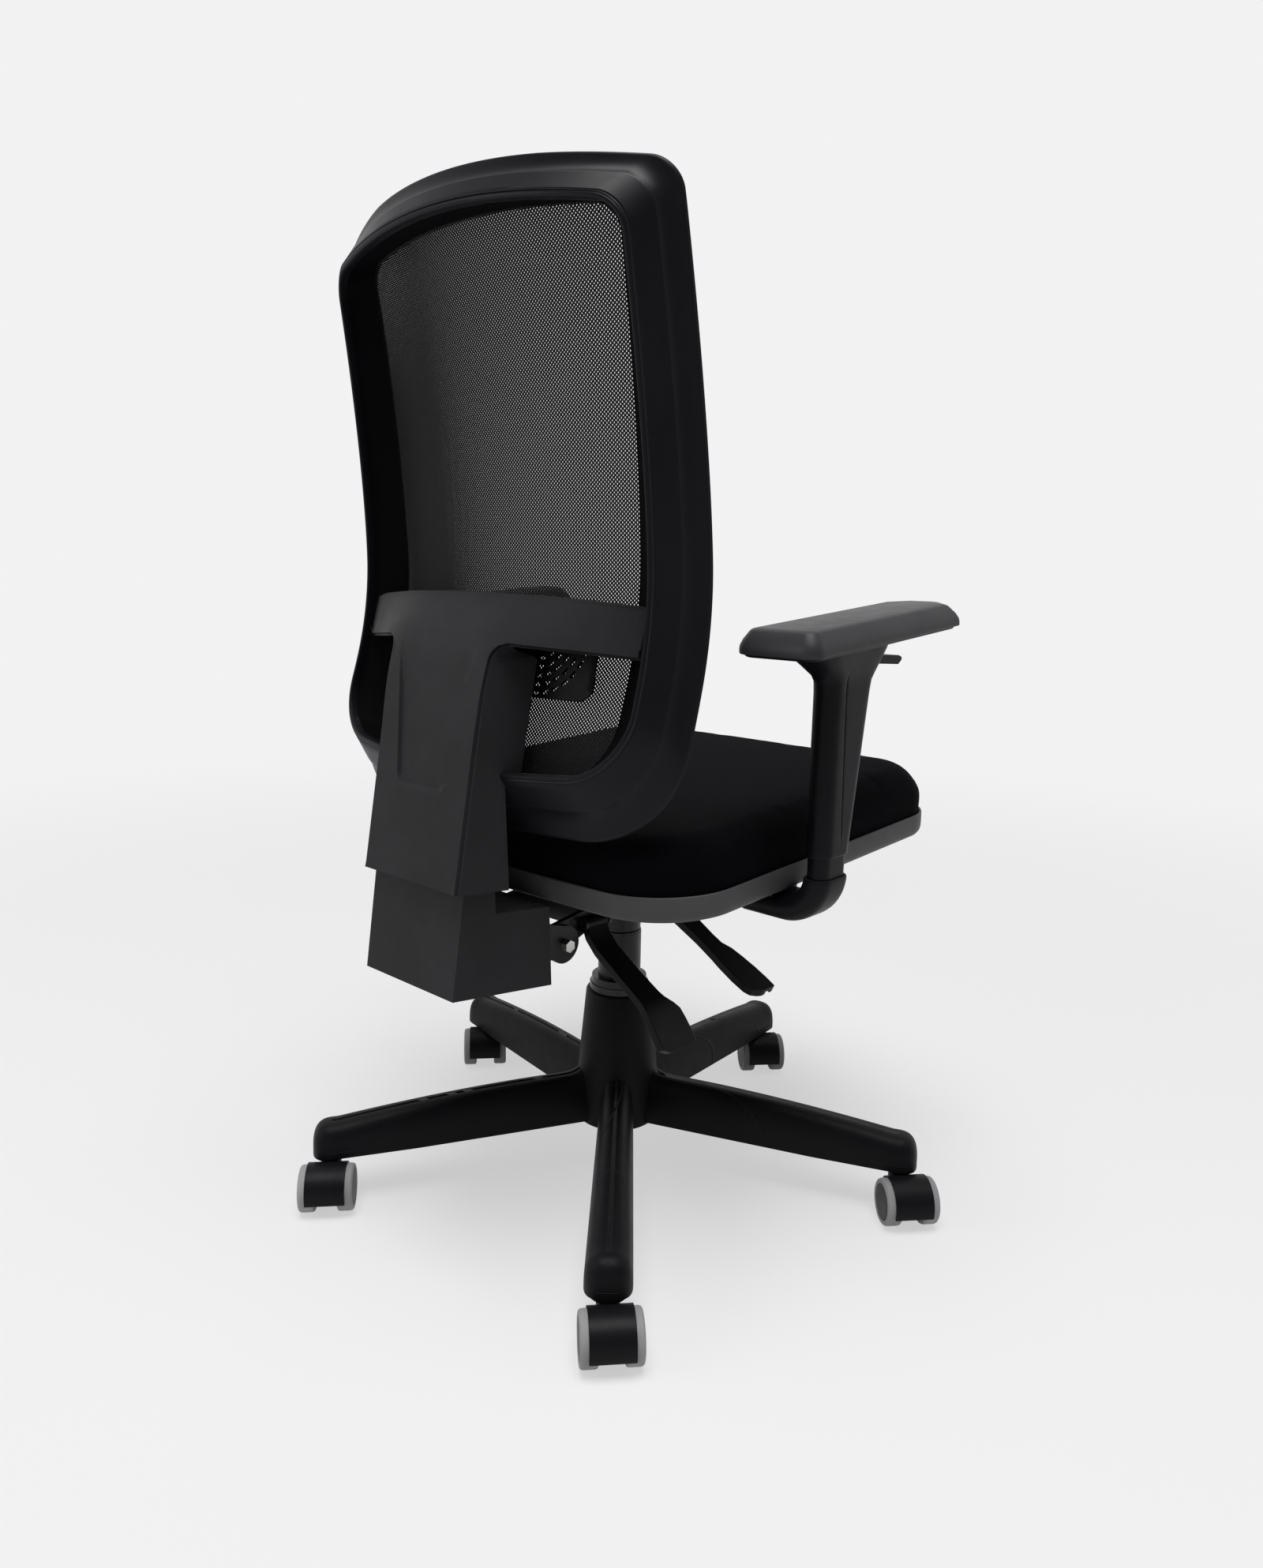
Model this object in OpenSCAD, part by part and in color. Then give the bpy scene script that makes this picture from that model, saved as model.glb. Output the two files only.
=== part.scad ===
// Swivel office chair: five-legged caster foot, gas column, reclining mesh back, height-adjustable arms.
// Millimetres. The origin is on the floor under the column axis, +Z is up, the sitter faces -Y and
// +X is the sitter's left.

/* [Foot] */
// Distance from the column axis to each caster stem
stem_circle_r = 335; // [320:1:360]
// Direction of the first leg, seen from above
leg_first_angle = 132; // [0:1:359]
// Height of the legs' top edge at the hub
leg_root_top = 110.5; // [100:0.5:125]
// Height of the legs' top edge at the tip
leg_tip_top = 89; // [84:0.5:98]
// Height of the legs' underside at the tip
leg_under_z = 53; // [53:0.5:58]
// Width of a leg at the hub
leg_root_w = 40; // [34:1:46]
// Width of a leg at the tip
leg_tip_w = 46; // [40:1:54]
// How far a leg runs out past its caster stem
leg_tip_reach = 19; // [16:0.5:23]
// Radius of the end of a leg in side view
leg_tip_round = 16; // [8:1:20]
// Wall of the hollow legs and hub
leg_wall = 4; // [3:0.5:5]
// Thickness of the ribs under a leg
rib_t = 3; // [2:0.5:4]
// Height of the hub's lower edge
hub_bottom_z = 50; // [46:1:52]
// Height of the hub's upper edge
hub_top_z = 214; // [195:1:225]
// Radius of the hub at its upper edge
hub_top_r = 38.5; // [34:0.5:42]
// Radius of the hub where the legs leave it
hub_foot_r = 47.5; // [45:0.5:52]
// Height of the lower step of the ring on the hub
hub_ring_h = 8.5; // [5:0.5:12]
// Height of the upper step of the ring on the hub
hub_step_h = 8; // [5:0.5:12]
// Radius of the ring on the hub
hub_ring_r = 34.5; // [32:0.5:37]

/* [Column] */
// Outside diameter of the column tube
tube_d = 50; // [46:1:54]
// Wall of the column tube
tube_wall = 2; // [1.5:0.5:3]
// Height of the column tube's mouth
tube_top_z = 285; // [270:1:300]
// Diameter of the gas spring rod
rod_d = 28; // [24:1:30]
// Length of the guide bush
bush_len = 42; // [30:1:60]
// Height through which the column lifts
lift = 100; // [60:5:110]

/* [Casters] */
// Diameter of a caster wheel
wheel_d = 50; // [44:1:50]
// Distance from the swivel axis to the axle
caster_trail = 30; // [27:0.5:34]
// Direction in which all five casters trail, seen from above
caster_direction = 139; // [0:1:359]
// Width over a pair of wheels
pair_w = 58.5; // [54:0.5:64]
// Width of one wheel
wheel_w = 17; // [14:0.5:18]
// Thickness of the soft tread
tread_t = 5.5; // [4:0.5:7]
// Width of the hood between and over the wheels
hood_w = 40; // [34:1:44]
// Wall of the hood
hood_t = 1.4; // [1.2:0.1:1.6]
// Gap between the tread and the hood
hood_gap = 0.7; // [0.5:0.1:0.9]
// Lowest angle of the hood behind the axle, below level
hood_back_angle = 40; // [20:1:50]
// Diameter of the axle
axle_d = 8; // [6:0.5:9]
// Diameter of the stem
stem_d = 11; // [10:0.5:12]
// Diameter of the collar under the leg
collar_d = 38; // [30:1:38]
// Thickness of the collar under the leg
collar_h = 3.4; // [2.5:0.1:3.6]
// Depth of the stem in the leg
stem_grip = 27; // [20:1:28]

/* [Mechanism] */
// Width of the housing
housing_w = 110; // [106:1:112]
// Front of the housing, ahead of the column axis
housing_front = 75; // [70:1:85]
// Rear of the housing, behind the column axis
housing_rear = 115; // [105:1:120]
// Height of the housing's underside
housing_z = 325; // [322:1:330]
// Wall of the housing
housing_wall = 5; // [4:0.5:6]
// Radius of the socket on the gas rod
socket_r = 24; // [20:0.5:28]
// Height of the socket's lower edge
socket_z = 289; // [288:1:300]
// Distance of the recline axis behind the column axis
recline_y = 150; // [146:1:154]
// Height of the recline axis
recline_z = 318; // [314:1:322]
// Diameter of the recline bolt
recline_d = 12; // [10:1:14]
// Thickness of the back bar's steel
bar_t = 8; // [6:0.5:8]
// Width of the back bar's upright
bar_w = 76; // [60:1:80]
// Height of the upright's upper end
bar_top_z = 600; // [560:5:605]
// Thickness of the back bar's cheeks
cheek_t = 6; // [4:0.5:7]
// Length of the lever pivots, along the chair
lever_root_w = 30; // [24:1:32]
// Distance of the height lever ahead of the column axis
height_lever_y = 0; // [-10:1:10]
// Distance of the recline lever behind the column axis
recline_lever_y = 105; // [100:1:106]
// Thickness of the levers
lever_t = 5; // [4:0.5:6]
// Width of the lever paddles, along the chair
paddle_w = 38; // [30:1:40]
// Width of the recline lever's paddle
recline_paddle_w = 50; // [40:1:52]
// How far the height lever's tip stands out from the column axis
height_lever_reach = 208; // [190:1:215]
// How far the recline lever's tip stands out from the column axis
recline_lever_reach = 176; // [165:1:185]

/* [Seat] */
// Half width of the seat shell
seat_hw = 248; // [235:1:260]
// Front edge of the seat, ahead of the column axis
seat_front = 300; // [280:1:315]
// Rear edge of the seat, behind the column axis
seat_rear = 205; // [195:1:207]
// Rise of the seat towards the front, in degrees
seat_tilt = 2.7; // [1:0.1:4]
// Height of the shell's underside over the column axis
seat_under_z = 389.5; // [385:0.5:395]
// Height of the shell
shell_h = 27; // [20:1:30]
// Wall of the shell
shell_wall = 3; // [2.5:0.5:4]
// Thickness of the plywood board
board_t = 12; // [9:1:14]
// Height of the cushion's crown above the shell's underside
seat_crown = 85; // [70:1:95]
// Radius of the seat's front corners
seat_front_r = 65; // [50:1:80]
// Radius of the seat's rear corners
seat_rear_r = 85; // [60:1:100]
// Bow of the front and rear edges
seat_bow = 9; // [4:1:14]
// Rounding of the cushion's upper edge
cushion_round = 16; // [10:1:22]
// Half the spacing of the seat bolts across the chair
seat_bolt_x = 70; // [68:1:72]
// Diameter of all seat, arm and back screws
bolt_d = 8; // [6:1:8]

/* [Arms] */
// Distance of each arm from the chair's middle plane
arm_x = 280; // [275:1:300]
// Distance of the arms behind the column axis
arm_y = 8; // [0:1:15]
// Width of the arm post
post_w = 24; // [20:1:26]
// Depth of the arm post, along the chair
post_d = 45; // [38:1:46]
// Wall of the arm sleeve round the post
sleeve_wall = 2.2; // [1.5:0.1:2.5]
// Height of the elbow's rim
elbow_rim_z = 409; // [405:1:412]
// Height of the sleeve's lower edge
sleeve_z = 430; // [425:1:440]
// Height of the shoulder where the sleeve flares
shoulder_z = 600; // [590:1:606]
// Depth of the sleeve at the shoulder
shoulder_d = 75; // [65:1:80]
// Travel of the arm height
arm_travel = 70; // [50:5:75]
// Radius of the elbow's bend
elbow_r = 36.5; // [33:0.5:40]
// Thickness of the elbow
elbow_t = 27; // [26.5:0.5:30]
// Inner end of the elbow, from the chair's middle plane
elbow_end_x = 195; // [185:1:205]
// Inner end of the steel bracket
bracket_end_x = 110; // [100:1:120]
// Thickness of the steel bracket under the elbow's upper face
bracket_t = 7; // [5:0.5:9]
// Height of the pad's underside over the arm's axis
pad_z = 633; // [630:1:640]
// Rise of the pad towards the front, in degrees
pad_tilt = 5.1; // [3:0.1:7]
// Thickness of the pad with its base
pad_t = 26; // [22:1:30]
// Thickness of the pad's hard base
pad_base_t = 6; // [4:0.5:9]
// Half width of the pad
pad_hw = 44.5; // [38:0.5:48]
// Front of the pad, ahead of the column axis
pad_front = 165; // [150:1:175]
// Rear of the pad, behind the column axis
pad_rear = 112; // [100:1:120]
// Slide of the pad each way
pad_travel = 20; // [10:1:25]
// Width of the arm trigger
trigger_w = 27; // [20:1:28]
// Length of the arm trigger
trigger_len = 55; // [45:1:60]

/* [Back] */
// Height of the back's most forward point, at the waist
waist_z = 700; // [680:1:720]
// Distance of the waist's rear edge behind the column axis
waist_y = 194.4; // [190:0.2:200]
// How strongly the back curves rearwards above the waist
head_sweep = 223.4; // [150:0.2:260]
// How strongly the back curves rearwards below the waist
foot_sweep = 1400; // [1200:10:1500]
// Greatest rearward offset of the back's foot
foot_limit = 40; // [36:0.5:42]
// Half width of the front edge at the seat
edge_hw = 241.5; // [232:0.5:246]
// Half width of the rear rim at the seat
rim_hw = 214.5; // [208:0.5:218]
// Half width of the mesh opening
open_hw = 172; // [160:1:178]
// Height of the front edge's crest
edge_top_z = 1039.5; // [1020:0.5:1060]
// Height of the front edge's foot
edge_foot_z = 453; // [448:1:458]
// Height of the rear rim's crest
rim_top_z = 1009; // [1000:1:1015]
// Height of the rear rim's foot
rim_foot_z = 507; // [500:1:512]
// Height of the mesh opening's crest
open_top_z = 1004; // [985:1:1005]
// Height of the mesh opening's foot
open_foot_z = 503; // [500:1:515]
// Depth of the frame from its rear edge to the mesh beside the opening
frame_depth = 30; // [24:0.5:34]
// Thickness of the mesh
mesh_t = 1.2; // [0.8:0.1:2]
// Distance of the mesh's edge inside the front edge
mesh_inset = 10; // [7:0.5:14]

/* [Spine] */
// Lean of the back bar and of the back's height slide, in degrees
slide_lean = 8; // [6:0.1:9]
// Height of the lower cover's lower edge
lower_z = 300; // [297:1:302]
// Distance of the lower cover's rear face behind the column axis
lower_y = 302; // [301:1:306]
// Half width of the lower cover's rear face
lower_hw = 69; // [67:0.5:69]
// Height of the lower cover's front part
lower_front_z = 379; // [372:1:385]
// Height to which the lower cover runs up inside the upper cover
lower_tongue_z = 452; // [430:1:460]
// Height of the upper cover's lower edge
upper_z = 403; // [400:1:410]
// Distance of the upper cover's rear face behind the column axis
upper_y = 297; // [296:0.5:300]
// Half width of the upper cover's rear face
upper_hw = 74; // [73:0.5:78]
// Lean of the upper cover's rear face, in degrees
upper_lean = 9.65; // [8:0.05:10]
// Splay of the covers' sides, in degrees
cover_splay = 18; // [15:0.5:20]
// Wall of the covers
cover_wall = 3; // [2:0.5:3]
// How far the T bar's ends lap the ring beside the net's opening
tbar_lap = 25; // [20:0.5:26]
// Height of the T bar's crest
tbar_top_z = 676; // [670:1:680]
// Height of the T bar's lower edge
tbar_under_z = 627; // [622:1:632]
// Thickness of the T bar
tbar_t = 10.4; // [9:0.2:13]
// Travel of the back's height slide
back_travel = 60; // [40:5:60]
// Half width of the lumbar pad
lumbar_hw = 140; // [120:1:145]
// Height of the lumbar pad's middle
lumbar_z = 630; // [628:1:632]
// Height of the lumbar pad, edge to edge
lumbar_h = 100; // [80:1:100]
// Thickness of the lumbar pad
lumbar_t = 3; // [2:0.5:4]
// Lean of the lumbar pad, in degrees
lumbar_lean = 11; // [9:0.1:12]

/* [Fits] */
// Running clearance between a shaft and its bore, on the radius
run_fit = 0.05; // [0.02:0.01:0.1]
// Clearance between parts that slide past one another
slide_gap = 0.3; // [0.3:0.05:0.5]
// Overshoot of cutting bodies
cut = 1; // [0.5:0.5:2]

/* [Hidden] */
$fn = 64;
leg_count = 5;
leg_step = 360 / leg_count;
far = 900;                                   // larger than any cut needs
plastic = [0.13, 0.13, 0.135];
soft_black = [0.09, 0.09, 0.095];

// ---- shared helpers ----

// A flat stadium, w across X and d along Y
module stadium(w, d) {
    square([w, d - w], center = true);
    for (s = [-1, 1]) translate([0, s * (d - w) / 2]) circle(d = w);
}
// A rectangle with round corners about the origin
module round_rect(w, d, r) {
    square([w - 2 * r, d], center = true);
    square([w, d - 2 * r], center = true);
    for (sx = [-1, 1], sy = [-1, 1]) translate([sx * (w / 2 - r), sy * (d / 2 - r)]) circle(r);
}
// A body drawn in the Y-Z plane and run along X from x0 to x1
module along_x(x0, x1) { translate([x0, 0, 0]) rotate([90, 0, 90]) linear_extrude(x1 - x0) children(); }
// A body drawn in the X-Z plane and run along Y from y0 to y1
module along_y(y0, y1) { translate([0, y1, 0]) rotate([90, 0, 0]) linear_extrude(y1 - y0) children(); }
// A round bar along X or Y
module bar_x(r, x0, x1) { translate([x0, 0, 0]) rotate([0, 90, 0]) cylinder(r = r, h = x1 - x0); }
module bar_y(r, y0, y1) { translate([0, y0, 0]) rotate([-90, 0, 0]) cylinder(r = r, h = y1 - y0); }

// Loop of [a, b] stations round a unit-width outline, a in [-1, 1] and b in [0, 1], with corner
// radii r0 at b = 0 and r1 at b = 1; side and corner counts give the number of stations.
function arc_ab(cx, cy, ru, rv, a0, n) = [for (i = [0 : n - 1]) let (t = a0 + 90 * i / n) [cx + ru * cos(t), cy + rv * sin(t)]];
function run_ab(p, q, n) = [for (i = [0 : n - 1]) p + (q - p) * i / n];
function loop_ab(hw, len, r0, r1, ns, nc, nw) = let (
    u0 = r0 / hw, v0 = r0 / len, u1 = r1 / hw, v1 = r1 / len) concat(
    run_ab([-1 + u0, 0], [1 - u0, 0], nw),
    arc_ab(1 - u0, v0, u0, v0, -90, nc),
    run_ab([1, v0], [1, 1 - v1], ns),
    arc_ab(1 - u1, 1 - v1, u1, v1, 0, nc),
    run_ab([1 - u1, 1], [-1 + u1, 1], nw),
    arc_ab(-1 + u1, 1 - v1, u1, v1, 90, nc),
    run_ab([-1, 1 - v1], [-1, v0], ns),
    arc_ab(-1 + u0, v0, u0, v0, 180, nc));

// Faces of a loft of m rings with n points each, closed at both ends towards a middle point
function loft_faces(m, n) = concat(
    [for (j = [0 : n - 1]) [m * n, j, (j + 1) % n]],
    [for (i = [0 : m - 2], j = [0 : n - 1]) [i * n + (j + 1) % n, i * n + j, (i + 1) * n + j]],
    [for (i = [0 : m - 2], j = [0 : n - 1]) [i * n + (j + 1) % n, (i + 1) * n + j, (i + 1) * n + (j + 1) % n]],
    [for (j = [0 : n - 1]) [(m - 1) * n + j, m * n + 1, (m - 1) * n + (j + 1) % n]]);
function flat(rings) = [for (r = rings) for (p = r) p];
function sum(v) = [for (p = v) 1] * v;
function middle(ring) = [for (c = [0 : 2]) sum([for (p = ring) p[c]]) / len(ring)];
// Rings run counter-clockwise seen from above, from the lowest to the highest; the ends close
// towards a point given, or towards the middle of the last ring
module loft(rings, first = undef, last = undef) {
    a = is_undef(first) ? middle(rings[0]) : first;
    b = is_undef(last) ? middle(rings[len(rings) - 1]) : last;
    polyhedron(points = concat(flat(rings), [a, b]), faces = loft_faces(len(rings), len(rings[0])), convexity = 6);
}

// ---- foot ----

leg_root_x = hub_foot_r + 2.5;
leg_under_root_z = leg_under_z + leg_wall;
tip_c = stem_circle_r + leg_tip_reach - leg_tip_w / 2;   // centre of the tip's round end, in plan
leg_len = stem_circle_r + leg_tip_reach;
leg_curve = 1.8;
stem_boss_r = stem_d / 2 + 5;
function leg_top(x) = let (s = max(0, (x - leg_root_x) / (stem_circle_r - 10 - leg_root_x)))
    leg_root_top - (leg_root_top - leg_tip_top) * min(1, pow(s, leg_curve));
leg_start = tube_d / 2 + 2;
leg_arc_n = 12;
// Side view of a leg, from its start inside the hub to the round tip
function leg_side() = concat(
    [[leg_start, leg_under_root_z], [stem_circle_r * 0.72, leg_under_z], [leg_len + cut, leg_under_z]],
    [[leg_len + cut, leg_top(stem_circle_r) - leg_tip_round]],
    [for (i = [0 : 6]) let (t = i * 15) [leg_len - leg_tip_round + leg_tip_round * cos(t),
        leg_top(stem_circle_r) - leg_tip_round + leg_tip_round * sin(t)]],
    [for (i = [10 : -1 : 0]) let (x = leg_root_x + (leg_len - leg_tip_round - leg_root_x) * i / 11) [x, leg_top(x)]],
    [[leg_start, leg_root_top]]);
// Plan of a leg: nearly parallel sides and a round tip
function leg_plan() = concat(
    [[leg_start, -leg_root_w / 2]],
    [for (i = [0 : leg_arc_n]) let (t = -90 + 180 * i / leg_arc_n) [tip_c + leg_tip_w / 2 * cos(t), leg_tip_w / 2 * sin(t)]],
    [[leg_start, leg_root_w / 2]]);
module leg_body() {
    intersection() {
        along_y(-leg_tip_w, leg_tip_w) polygon(leg_side());
        linear_extrude(2 * leg_root_top) polygon(leg_plan());
    }
}
// The hollow under one leg, between its walls, its ribs and the boss round the stem
leg_ribs = [hub_foot_r + leg_wall, hub_foot_r + 70, stem_circle_r - 100, stem_circle_r - stem_boss_r - leg_wall + rib_t];
function leg_hw(x) = mix(leg_root_w, leg_tip_w, (x - leg_start) / (tip_c - leg_start)) / 2;
module leg_hollow() {
    intersection() {
        along_y(-leg_tip_w, leg_tip_w) polygon(concat([[leg_start, leg_under_z - 4 * cut], [leg_len, leg_under_z - 4 * cut]],
            [for (i = [8 : -1 : 0]) let (x = leg_root_x - 5 + (stem_circle_r - leg_root_x) * i / 8) [x, leg_top(x) - leg_wall]]));
        linear_extrude(2 * leg_root_top) for (s = [-1, 1], i = [0 : len(leg_ribs) - 2]) let (x0 = leg_ribs[i] + rib_t, x1 = leg_ribs[i + 1] - rib_t)
            polygon([[x0, s * rib_t / 2], [x1, s * rib_t / 2], [x1, s * (leg_hw(x1) - leg_wall)], [x0, s * (leg_hw(x0) - leg_wall)]]);
    }
}
hub_neck_z = leg_root_top + 2;
hub_seat_z = hub_bottom_z + 6;
hub_bore_r = tube_d / 2 + run_fit;
module hub_solid() {
    translate([0, 0, hub_bottom_z]) cylinder(r = hub_foot_r, h = hub_neck_z - hub_bottom_z);
    translate([0, 0, hub_neck_z]) cylinder(r1 = hub_foot_r, r2 = hub_top_r, h = hub_top_z - hub_neck_z);
}
module star_base() {
    color(plastic) difference() {
        union() {
            hub_solid();
            for (k = [0 : leg_count - 1]) rotate(leg_first_angle + k * leg_step)
                difference() { leg_body(); leg_hollow(); }
        }
        translate([0, 0, hub_seat_z]) cylinder(r = hub_bore_r, h = far);
        translate([0, 0, hub_bottom_z - cut]) cylinder(r = hub_bore_r - leg_wall, h = far);
        rotate_extrude() polygon([[hub_bore_r + leg_wall, hub_bottom_z - cut], [hub_foot_r - leg_wall, hub_bottom_z - cut],
            [hub_foot_r - leg_wall, hub_neck_z - leg_wall], [hub_top_r - leg_wall, hub_top_z - 2 * leg_wall],
            [hub_bore_r + leg_wall, hub_top_z - 2 * leg_wall]]);
        for (k = [0 : leg_count - 1]) rotate(leg_first_angle + k * leg_step) translate([stem_circle_r, 0, leg_under_z - cut])
            cylinder(r = stem_d / 2 + run_fit, h = stem_grip + 2 * cut);
    }
}
module hub_ring() {
    color(soft_black) difference() {
        union() {
            translate([0, 0, hub_top_z]) cylinder(r = hub_ring_r, h = hub_ring_h);
            translate([0, 0, hub_top_z + hub_ring_h]) cylinder(r1 = hub_ring_r - 1.5, r2 = hub_ring_r - 2.5, h = hub_step_h);
        }
        translate([0, 0, hub_top_z - cut]) cylinder(r = hub_bore_r, h = hub_ring_h + hub_step_h + 2 * cut);
    }
}

// ---- column ----

bush_flange_h = 2;
tube_bore_r = tube_d / 2 - tube_wall;
rod_foot_z = hub_seat_z + 24;
socket_top_z = seat_under_z - 45;
module gas_tube() {
    color(soft_black) difference() {
        translate([0, 0, hub_seat_z]) cylinder(d = tube_d, h = tube_top_z - hub_seat_z);
        translate([0, 0, hub_seat_z + 2 * tube_wall]) cylinder(r = tube_bore_r, h = far);
    }
}
module column_bush() {
    color(plastic) difference() {
        union() {
            translate([0, 0, tube_top_z - bush_len]) cylinder(r = tube_bore_r - run_fit, h = bush_len);
            translate([0, 0, tube_top_z]) cylinder(d = tube_d - 1, h = bush_flange_h);
        }
        translate([0, 0, tube_top_z - bush_len - cut]) cylinder(r = rod_d / 2 + run_fit, h = far);
    }
}
module gas_rod() {
    color([0.55, 0.56, 0.58]) translate([0, 0, rod_foot_z]) cylinder(d = rod_d, h = socket_top_z - slide_gap - rod_foot_z);
}

// ---- casters ----

axle_z = wheel_d / 2;
hood_r = wheel_d / 2 + hood_gap;
wheel_in = pair_w / 2 - wheel_w;
disc_r = wheel_d / 2 - tread_t;
collar_z = leg_under_z - collar_h;
web_hw = 4;
boss_r = wheel_in - 1;
stem_foot_z = 14;
cap_t = 1.2;
// Puts its children at caster k: swivel axis up through the origin, the axle behind it along +Y
module at_caster(k) {
    rotate(leg_first_angle + k * leg_step) translate([stem_circle_r, 0, 0])
        rotate(caster_direction - 90 - leg_first_angle - k * leg_step) children();
}
module caster_stems() {
    color([0.3, 0.3, 0.31]) for (k = [0 : leg_count - 1]) at_caster(k) {
        translate([0, 0, collar_z]) cylinder(d = collar_d, h = collar_h);
        translate([0, 0, stem_foot_z]) cylinder(d = stem_d, h = leg_under_z + stem_grip - stem_foot_z);
    }
}
// The sector that the hood covers, seen along the axle
module hood_sector() {
    polygon(concat([[0, 0]], [for (i = [0 : 12]) let (t = -hood_back_angle + (150 + hood_back_angle) * i / 12) 3 * hood_r * [cos(t), sin(t)]]));
}
module caster_hood(k) {
    color(plastic) at_caster(k) difference() {
        union() {
            translate([0, caster_trail, axle_z]) {
                intersection() {
                    difference() { bar_x(hood_r + hood_t, -hood_w / 2, hood_w / 2); bar_x(hood_r, -hood_w, hood_w); }
                    along_x(-hood_w, hood_w) hood_sector();
                }
                intersection() {
                    bar_x(hood_r + hood_t / 2, -web_hw, web_hw);
                    along_x(-web_hw, web_hw) union() { hood_sector(); circle(axle_d); }
                }
            }
            along_x(-web_hw, web_hw) polygon([[0, stem_foot_z + 2], [caster_trail, axle_z - axle_d], [caster_trail, axle_z + axle_d], [0, collar_z - 6]]);
            translate([0, 0, stem_foot_z + 1]) cylinder(r = boss_r, h = collar_z - slide_gap - stem_foot_z - 1);
        }
        translate([0, 0, stem_foot_z - cut]) cylinder(r = stem_d / 2 + run_fit, h = far);
        translate([0, 0, collar_z - slide_gap]) cylinder(d = collar_d + 1, h = far);
        translate([0, caster_trail, axle_z]) bar_x(axle_d / 2 + run_fit, -hood_w, hood_w);
    }
}
axle_hl = pair_w / 2 - cap_t - slide_gap;
module caster_axle(k) {
    color([0.6, 0.6, 0.62]) at_caster(k) translate([0, caster_trail, axle_z]) bar_x(axle_d / 2, -axle_hl, axle_hl);
}
// Half section of one wheel's disc: [distance along the axle from the wheel's inner face, radius]
module caster_wheels(k) {
    color([0.12, 0.12, 0.12]) at_caster(k) translate([0, caster_trail, axle_z]) for (s = [-1, 1])
        rotate([0, s * 90, 0]) translate([0, 0, wheel_in]) difference() {
            union() {
                cylinder(r = axle_d, h = wheel_w);
                translate([0, 0, wheel_w - 4]) cylinder(r = disc_r, h = 4 - cap_t);
                difference() { translate([0, 0, cap_t]) cylinder(r = disc_r, h = wheel_w - 2 * cap_t); cylinder(r = disc_r - 2.5, h = wheel_w); }
            }
            translate([0, 0, -cut]) cylinder(r = axle_d / 2 + run_fit, h = wheel_w - cap_t + cut);
        }
}
module caster_treads(k) {
    color([0.6, 0.61, 0.62]) at_caster(k) translate([0, caster_trail, axle_z]) for (s = [-1, 1])
        rotate([0, s * 90, 0]) translate([0, 0, wheel_in]) rotate_extrude()
            polygon([[disc_r, 0], [wheel_d / 2 - 1.5, 0], [wheel_d / 2, 1.5], [wheel_d / 2, wheel_w - 3], [wheel_d / 2 - 3, wheel_w], [disc_r, wheel_w]]);
}
module caster_hood_1() { caster_hood(0); }
module caster_hood_2() { caster_hood(1); }
module caster_hood_3() { caster_hood(2); }
module caster_hood_4() { caster_hood(3); }
module caster_hood_5() { caster_hood(4); }
module caster_axle_1() { caster_axle(0); }
module caster_axle_2() { caster_axle(1); }
module caster_axle_3() { caster_axle(2); }
module caster_axle_4() { caster_axle(3); }
module caster_axle_5() { caster_axle(4); }
module caster_wheels_1() { caster_wheels(0); }
module caster_wheels_2() { caster_wheels(1); }
module caster_wheels_3() { caster_wheels(2); }
module caster_wheels_4() { caster_wheels(3); }
module caster_wheels_5() { caster_wheels(4); }
module caster_treads_1() { caster_treads(0); }
module caster_treads_2() { caster_treads(1); }
module caster_treads_3() { caster_treads(2); }
module caster_treads_4() { caster_treads(3); }
module caster_treads_5() { caster_treads(4); }

// ---- seat ----

// Frame of the tilted seat: local z = 0 is the shell's underside
module on_seat() { translate([0, 0, seat_under_z]) rotate([-seat_tilt, 0, 0]) children(); }
// Everything below the shell's underside
module below_seat() { on_seat() translate([-far, -far, -far]) cube([2 * far, 2 * far, far]); }
seat_len = seat_front + seat_rear;
function seat_xy(ab, d) = let (a = ab[0], b = ab[1], bow = seat_bow * (1 - a * a))
    [-a * (seat_hw - d), (seat_rear - d) * (1 - b) - (seat_front - d) * b + (1 - 2 * b) * (bow - seat_bow)];
function seat_outline(d, ns = 4, nc = 8, nw = 10) = [for (ab = loop_ab(seat_hw - d, seat_len - 2 * d, seat_rear_r - d, seat_front_r - d, ns, nc, nw)) seat_xy(ab, d)];
board_z = shell_wall;
cushion_z = board_z + board_t + slide_gap;
seat_bolt_ys = [-60, 85];
arm_bolt_xs = [bracket_end_x + 20, bracket_end_x + 55];
module seat_bolt_at(z = 0) { for (sx = [-1, 1], y = seat_bolt_ys) on_seat() translate([sx * seat_bolt_x, y, z]) children(); }
module arm_bolt_at(z = 0) { for (sx = [-1, 1], x = arm_bolt_xs) on_seat() translate([sx * x, arm_y, z]) children(); }
module seat_shell() {
    color(plastic) difference() {
        on_seat() difference() {
            linear_extrude(shell_h) polygon(seat_outline(0));
            translate([0, 0, shell_wall]) linear_extrude(shell_h) polygon(seat_outline(shell_wall));
        }
        seat_bolt_at(-cut) cylinder(d = bolt_d + 2 * run_fit, h = shell_h);
        arm_bolt_at(-cut) cylinder(d = bolt_d + 2 * run_fit, h = shell_h);
    }
}
module seat_board() {
    color([0.72, 0.6, 0.42]) difference() {
        on_seat() translate([0, 0, board_z]) linear_extrude(board_t) polygon(seat_outline(shell_wall + slide_gap));
        seat_bolt_at(-cut) cylinder(d = bolt_d + 2 * run_fit, h = shell_h);
        arm_bolt_at(-cut) cylinder(d = bolt_d + 2 * run_fit, h = shell_h);
    }
}
cushion_inset = shell_wall + 1;
function cushion_crown(y) = seat_crown - 5 + 5 * (y < 0 ? pow(-y / seat_front, 2) : 0);
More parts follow.
